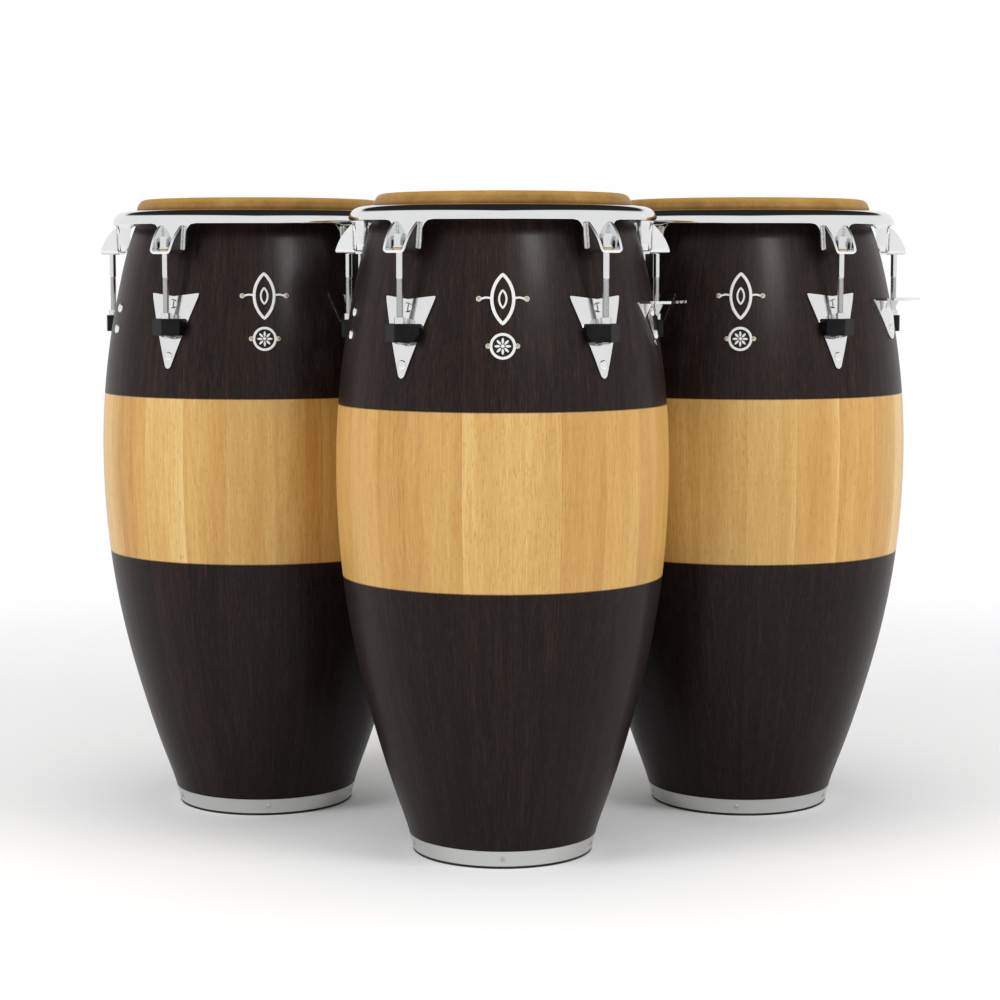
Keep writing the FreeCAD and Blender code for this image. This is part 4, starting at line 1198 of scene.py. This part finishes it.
def badge_ring(drum):
    circle = [(BADGE_R * math.cos(a), BADGE_Z + BADGE_R * math.sin(a))
              for a in np.linspace(0, math.tau, 240, endpoint=False)]
    verts, faces = ribbon(drum, circle, width=3.1, thick=1.6, closed=True)
    verts = np.array(verts)
    # rope-like notching on the raised part of the ring
    for vert in verts:
        x, y, z = vert
        if y < -(drum.radius(z) + 1.0):
            angle, r = math.atan2(z - BADGE_Z, x), math.hypot(x, z - BADGE_Z)
            vert[:2] *= 1 + 0.096 * math.sin(angle * 48 + (r - 12.9) * 1.6) / 190.0
    return verts, faces


def badge_parts(drum):
    """Notched ring with a boss each side and an eight-petalled rosette inside."""
    parts = [badge_ring(drum)]
    for sign in (-1, 1):
        parts.append(boss(drum, BADGE_Z, sign * BADGE_BOSS_X, (2.8, 2.9, 2.5, 1.5)))
    steps = np.linspace(0, 1, 12)
    widths = 0.7 + 2.0 * np.sin(steps * math.pi) ** 0.8
    for i in range(8):
        angle = math.pi * i / 4
        petal = [(math.cos(angle) * (2.6 + 6.4 * t), BADGE_Z + math.sin(angle) * (2.6 + 6.4 * t))
                 for t in steps]
        parts.append(ribbon(drum, petal, width=widths, thick=0.6, lift=GAP + 1.0))
    hub = lathe([(0, 0.8), (1.9, 0.8), (1.9, 1.5), (1.3, 1.85), (0, 1.95)], 24)
    return parts + [set_on(drum, 0.0, BADGE_Z, GAP, hub)]


def badge_disc(drum):
    """Flat disc that fills the badge ring."""
    count, rings = 72, 12
    lift = GAP + 1.1
    levels = [(DISC_R * i / rings, lift) for i in range(1, rings + 1)] + [(DISC_R, GAP)]
    verts = [drum.on_shell(0, BADGE_Z, lift)]
    for r, height in levels:
        for j in range(count):
            angle = math.tau * j / count
            verts.append(drum.on_shell(r * math.cos(angle), BADGE_Z + r * math.sin(angle),
                                       height))
    verts.append(drum.on_shell(0, BADGE_Z, GAP))
    last = len(verts) - 1
    quads = shifted(grid_faces(len(levels), count, close_columns=True), 1)
    faces = fan(0, range(1, 1 + count), flip=True) + [(a, d, c, b) for a, b, c, d in quads]
    return verts, flipped(faces + fan(last, range(last - count, last)))


def pin_mesh():
    """Cross-slotted pin."""
    count = 32
    profile = [(1.9, -0.3), (2.0, 0.35), (1.75, 0.8), (1.3, 1.05), (0.75, 1.15)]
    size, slot_ring = len(profile), count * len(profile)
    angles = [math.tau * i / count for i in range(count)]
    verts = [p for angle in angles for p in turn(profile, angle)]
    faces = grid_faces(count, size, close_rows=True)
    for i, angle in enumerate(angles):
        slot = min(abs(math.sin(angle + 0.6)), abs(math.cos(angle + 0.6))) < 0.32
        verts += turn([(0.62, 0.55 if slot else 1.1)], angle)
        after = (i + 1) % count
        faces.append((i * size + size - 1, after * size + size - 1,
                      slot_ring + after, slot_ring + i))
    top = len(verts)
    verts += [(0, 0, 0.45), (0, 0, -0.3)]
    faces += fan(top, range(slot_ring, top))
    return verts, faces + fan(top + 1, range(0, slot_ring, size), flip=True)


def build_ornaments(drum):
    piece(drum, "ornament_plates", join(eye_parts(drum) + badge_parts(drum)),
          MAT["ornament"], sharp=45.0, replaces="front_ornaments")
    piece(drum, "ornament_enamel", badge_disc(drum), MAT["enamel"], sharp=45.0)
    pins = [set_on(drum, boss_azimuth(drum, z, x), z, GAP + BOSS_HEIGHTS[-1], pin_mesh())
            for z, x in BOSSES]
    piece(drum, "ornament_pins", join(pins), MAT["brass"], sharp=40.0)


for each_drum in DRUMS:
    for build in (build_shell, build_hide, build_hoop, build_cups, build_welds, build_bolts,
                  build_plates, build_blocks, build_domes, build_protector, build_ornaments):
        build(each_drum)

# finishes of the CAD pieces that stay, by the end of their names
CAD_FINISHES = {"base_band": "band", "band_screws": "zinc", "rubber_foot": "foot",
                "flesh_hoop": "wire", "lug_washers": "washer", "threaded_inserts": "insert",
                "inner_nuts": "nut"}
for node_name, cad in frame["nodes"].items():
    for ending, finish in CAD_FINISHES.items():
        if node_name.endswith("_" + ending):
            for material_slot in cad.material_slots:
                material_slot.material = MAT[finish]
            if not cad.material_slots:
                cad.data.materials.append(MAT[finish])


# ------------------------------------------------------------------- studio
def paper():
    """Pale paper, fading to pure white glow away from the drums."""
    mat = Material("paper_floor")
    place = mat.place(local=False)
    x, y, _ = mat.xyz(place)
    radius = mat.math("SQRT", mat.add(mat.mul(x, x), mat.mul(y, y)))
    tone = mat.noise(place, scale=3.0, detail=2.0)
    colour = mat.mix(mat.mul(tone, 0.04), (0.955, 0.955, 0.957), (0.93, 0.93, 0.935))
    mat.finish(color=colour, rough=0.8, spec=0.1)
    glow = mat.node("ShaderNodeEmission")
    glow.inputs["Color"].default_value = (1, 1, 1, 1)
    glow.inputs["Strength"].default_value = 1.0
    fade = mat.node("ShaderNodeMixShader")
    mat.put(fade.inputs[0], mat.mask(radius, start=0.9, end=2.3, smooth=True))
    mat.put(fade.inputs[1], mat.surface.outputs[0])
    mat.put(fade.inputs[2], glow.outputs[0])
    mat.put(mat.output.inputs[0], fade.outputs[0])
    return mat.material


def build_floor():
    """A wide round sheet at z 0; radii in metres."""
    count, radii = 96, (0.6, 1.2, 2.0, 3.5, 8.0, 60.0)
    verts = [(0.0, 0.0, 0.0)]
    for r in radii:
        for i in range(count):
            verts += turn([(r, 0.0)], math.tau * i / count)
    faces = fan(0, range(1, 1 + count))
    faces += shifted(grid_faces(len(radii), count, close_columns=True), 1)
    data = bpy.data.meshes.new("studio_floor")
    data.from_pydata(verts, [], faces)
    obj = bpy.data.objects.new("studio_floor", data)
    bpy.context.scene.collection.objects.link(obj)
    data.materials.append(paper())


def softbox(name, place, target, size, power, glossy=False):
    """Rectangular light aimed at the target; metres and watts."""
    light = bpy.data.lights.new(name, "AREA")
    light.shape = "RECTANGLE"
    light.size, light.size_y = size
    light.energy = power
    light.spread = math.pi
    obj = bpy.data.objects.new(name, light)
    obj.location = place
    obj.rotation_euler = (Vector(target) - Vector(place)).to_track_quat("-Z", "Y").to_euler()
    bpy.context.scene.collection.objects.link(obj)
    obj.visible_glossy = glossy
    return obj


def build_lights():
    for name, x in (("key_right", 2.9), ("fill_left", -2.9)):
        softbox(name, place=(x, -1.7, 1.5), target=(0, 0, 0.45), size=(1.4, 2.4), power=60)
    softbox("top", place=(0.0, -0.4, 3.2), target=(0, 0, 0.0), size=(3.2, 2.4), power=26)
    # only puts a faint sheen on the lacquered staves and the rubber blocks
    sheen = softbox("sheen", place=(1.15, -2.5, 2.3), target=(0, 0, 0.62), size=(0.7, 1.1),
                    power=52, glossy=True)
    sheen.visible_diffuse = False
    receivers = bpy.data.collections.new("sheen_on")
    for obj in bpy.context.scene.objects:
        if obj.name.endswith(("_stave_shell", "_receiver_block_set")):
            receivers.objects.link(obj)
    sheen.light_linking.receiver_collection = receivers


def build_world():
    """White for the camera, an even tent for soft light, its own view for reflections."""
    world = bpy.data.worlds.new("studio")
    bpy.context.scene.world = world
    sky = Nodes(world)
    output = sky.node("ShaderNodeOutputWorld")
    background = sky.node("ShaderNodeBackground")
    x, y, z = sky.xyz(sky.node("ShaderNodeTexCoord").outputs["Generated"])
    # reflections: bright all round at eye level, dark overhead and towards the back
    lean = sky.sub(sky.add(z, sky.mul(y, 0.5)), sky.mul(sky.math("ABSOLUTE", x), 0.3))
    dark = sky.mul(sky.mask(lean, start=0.54, end=0.66, smooth=True),
                   sky.mask(z, start=0.33, end=0.42, smooth=True))
    horizon = sky.mask(z, start=-0.5, end=0.05, smooth=True)
    reflected = sky.mix(dark, sky.mix(horizon, grey(0.74), grey(0.93)), grey(0.022))
    ray = sky.node("ShaderNodeLightPath").outputs
    tent = sky.mix(ray["Is Glossy Ray"], grey(0.60), reflected)
    sky.put(background.inputs[0], sky.mix(ray["Is Camera Ray"], tent, grey(1.0)))
    sky.put(output.inputs[0], background.outputs[0])


def build_camera():
    """In front of the centre drum, looking slightly down."""
    camera = bpy.data.cameras.new("camera")
    camera.lens = 84.2
    camera.sensor_width = 36.0
    obj = bpy.data.objects.new("camera", camera)
    centre = DRUMS[0]
    obj.location = ((centre.x - 3.0) * MM, centre.y * MM - 2.700, 0.680)
    obj.rotation_euler = (math.radians(90.0 - 5.716), 0, 0)
    scene = bpy.context.scene
    scene.collection.objects.link(obj)
    scene.camera = obj
    scene.view_settings.view_transform = "Standard"
    scene.view_settings.look = "None"


build_floor()
build_lights()
build_world()
build_camera()
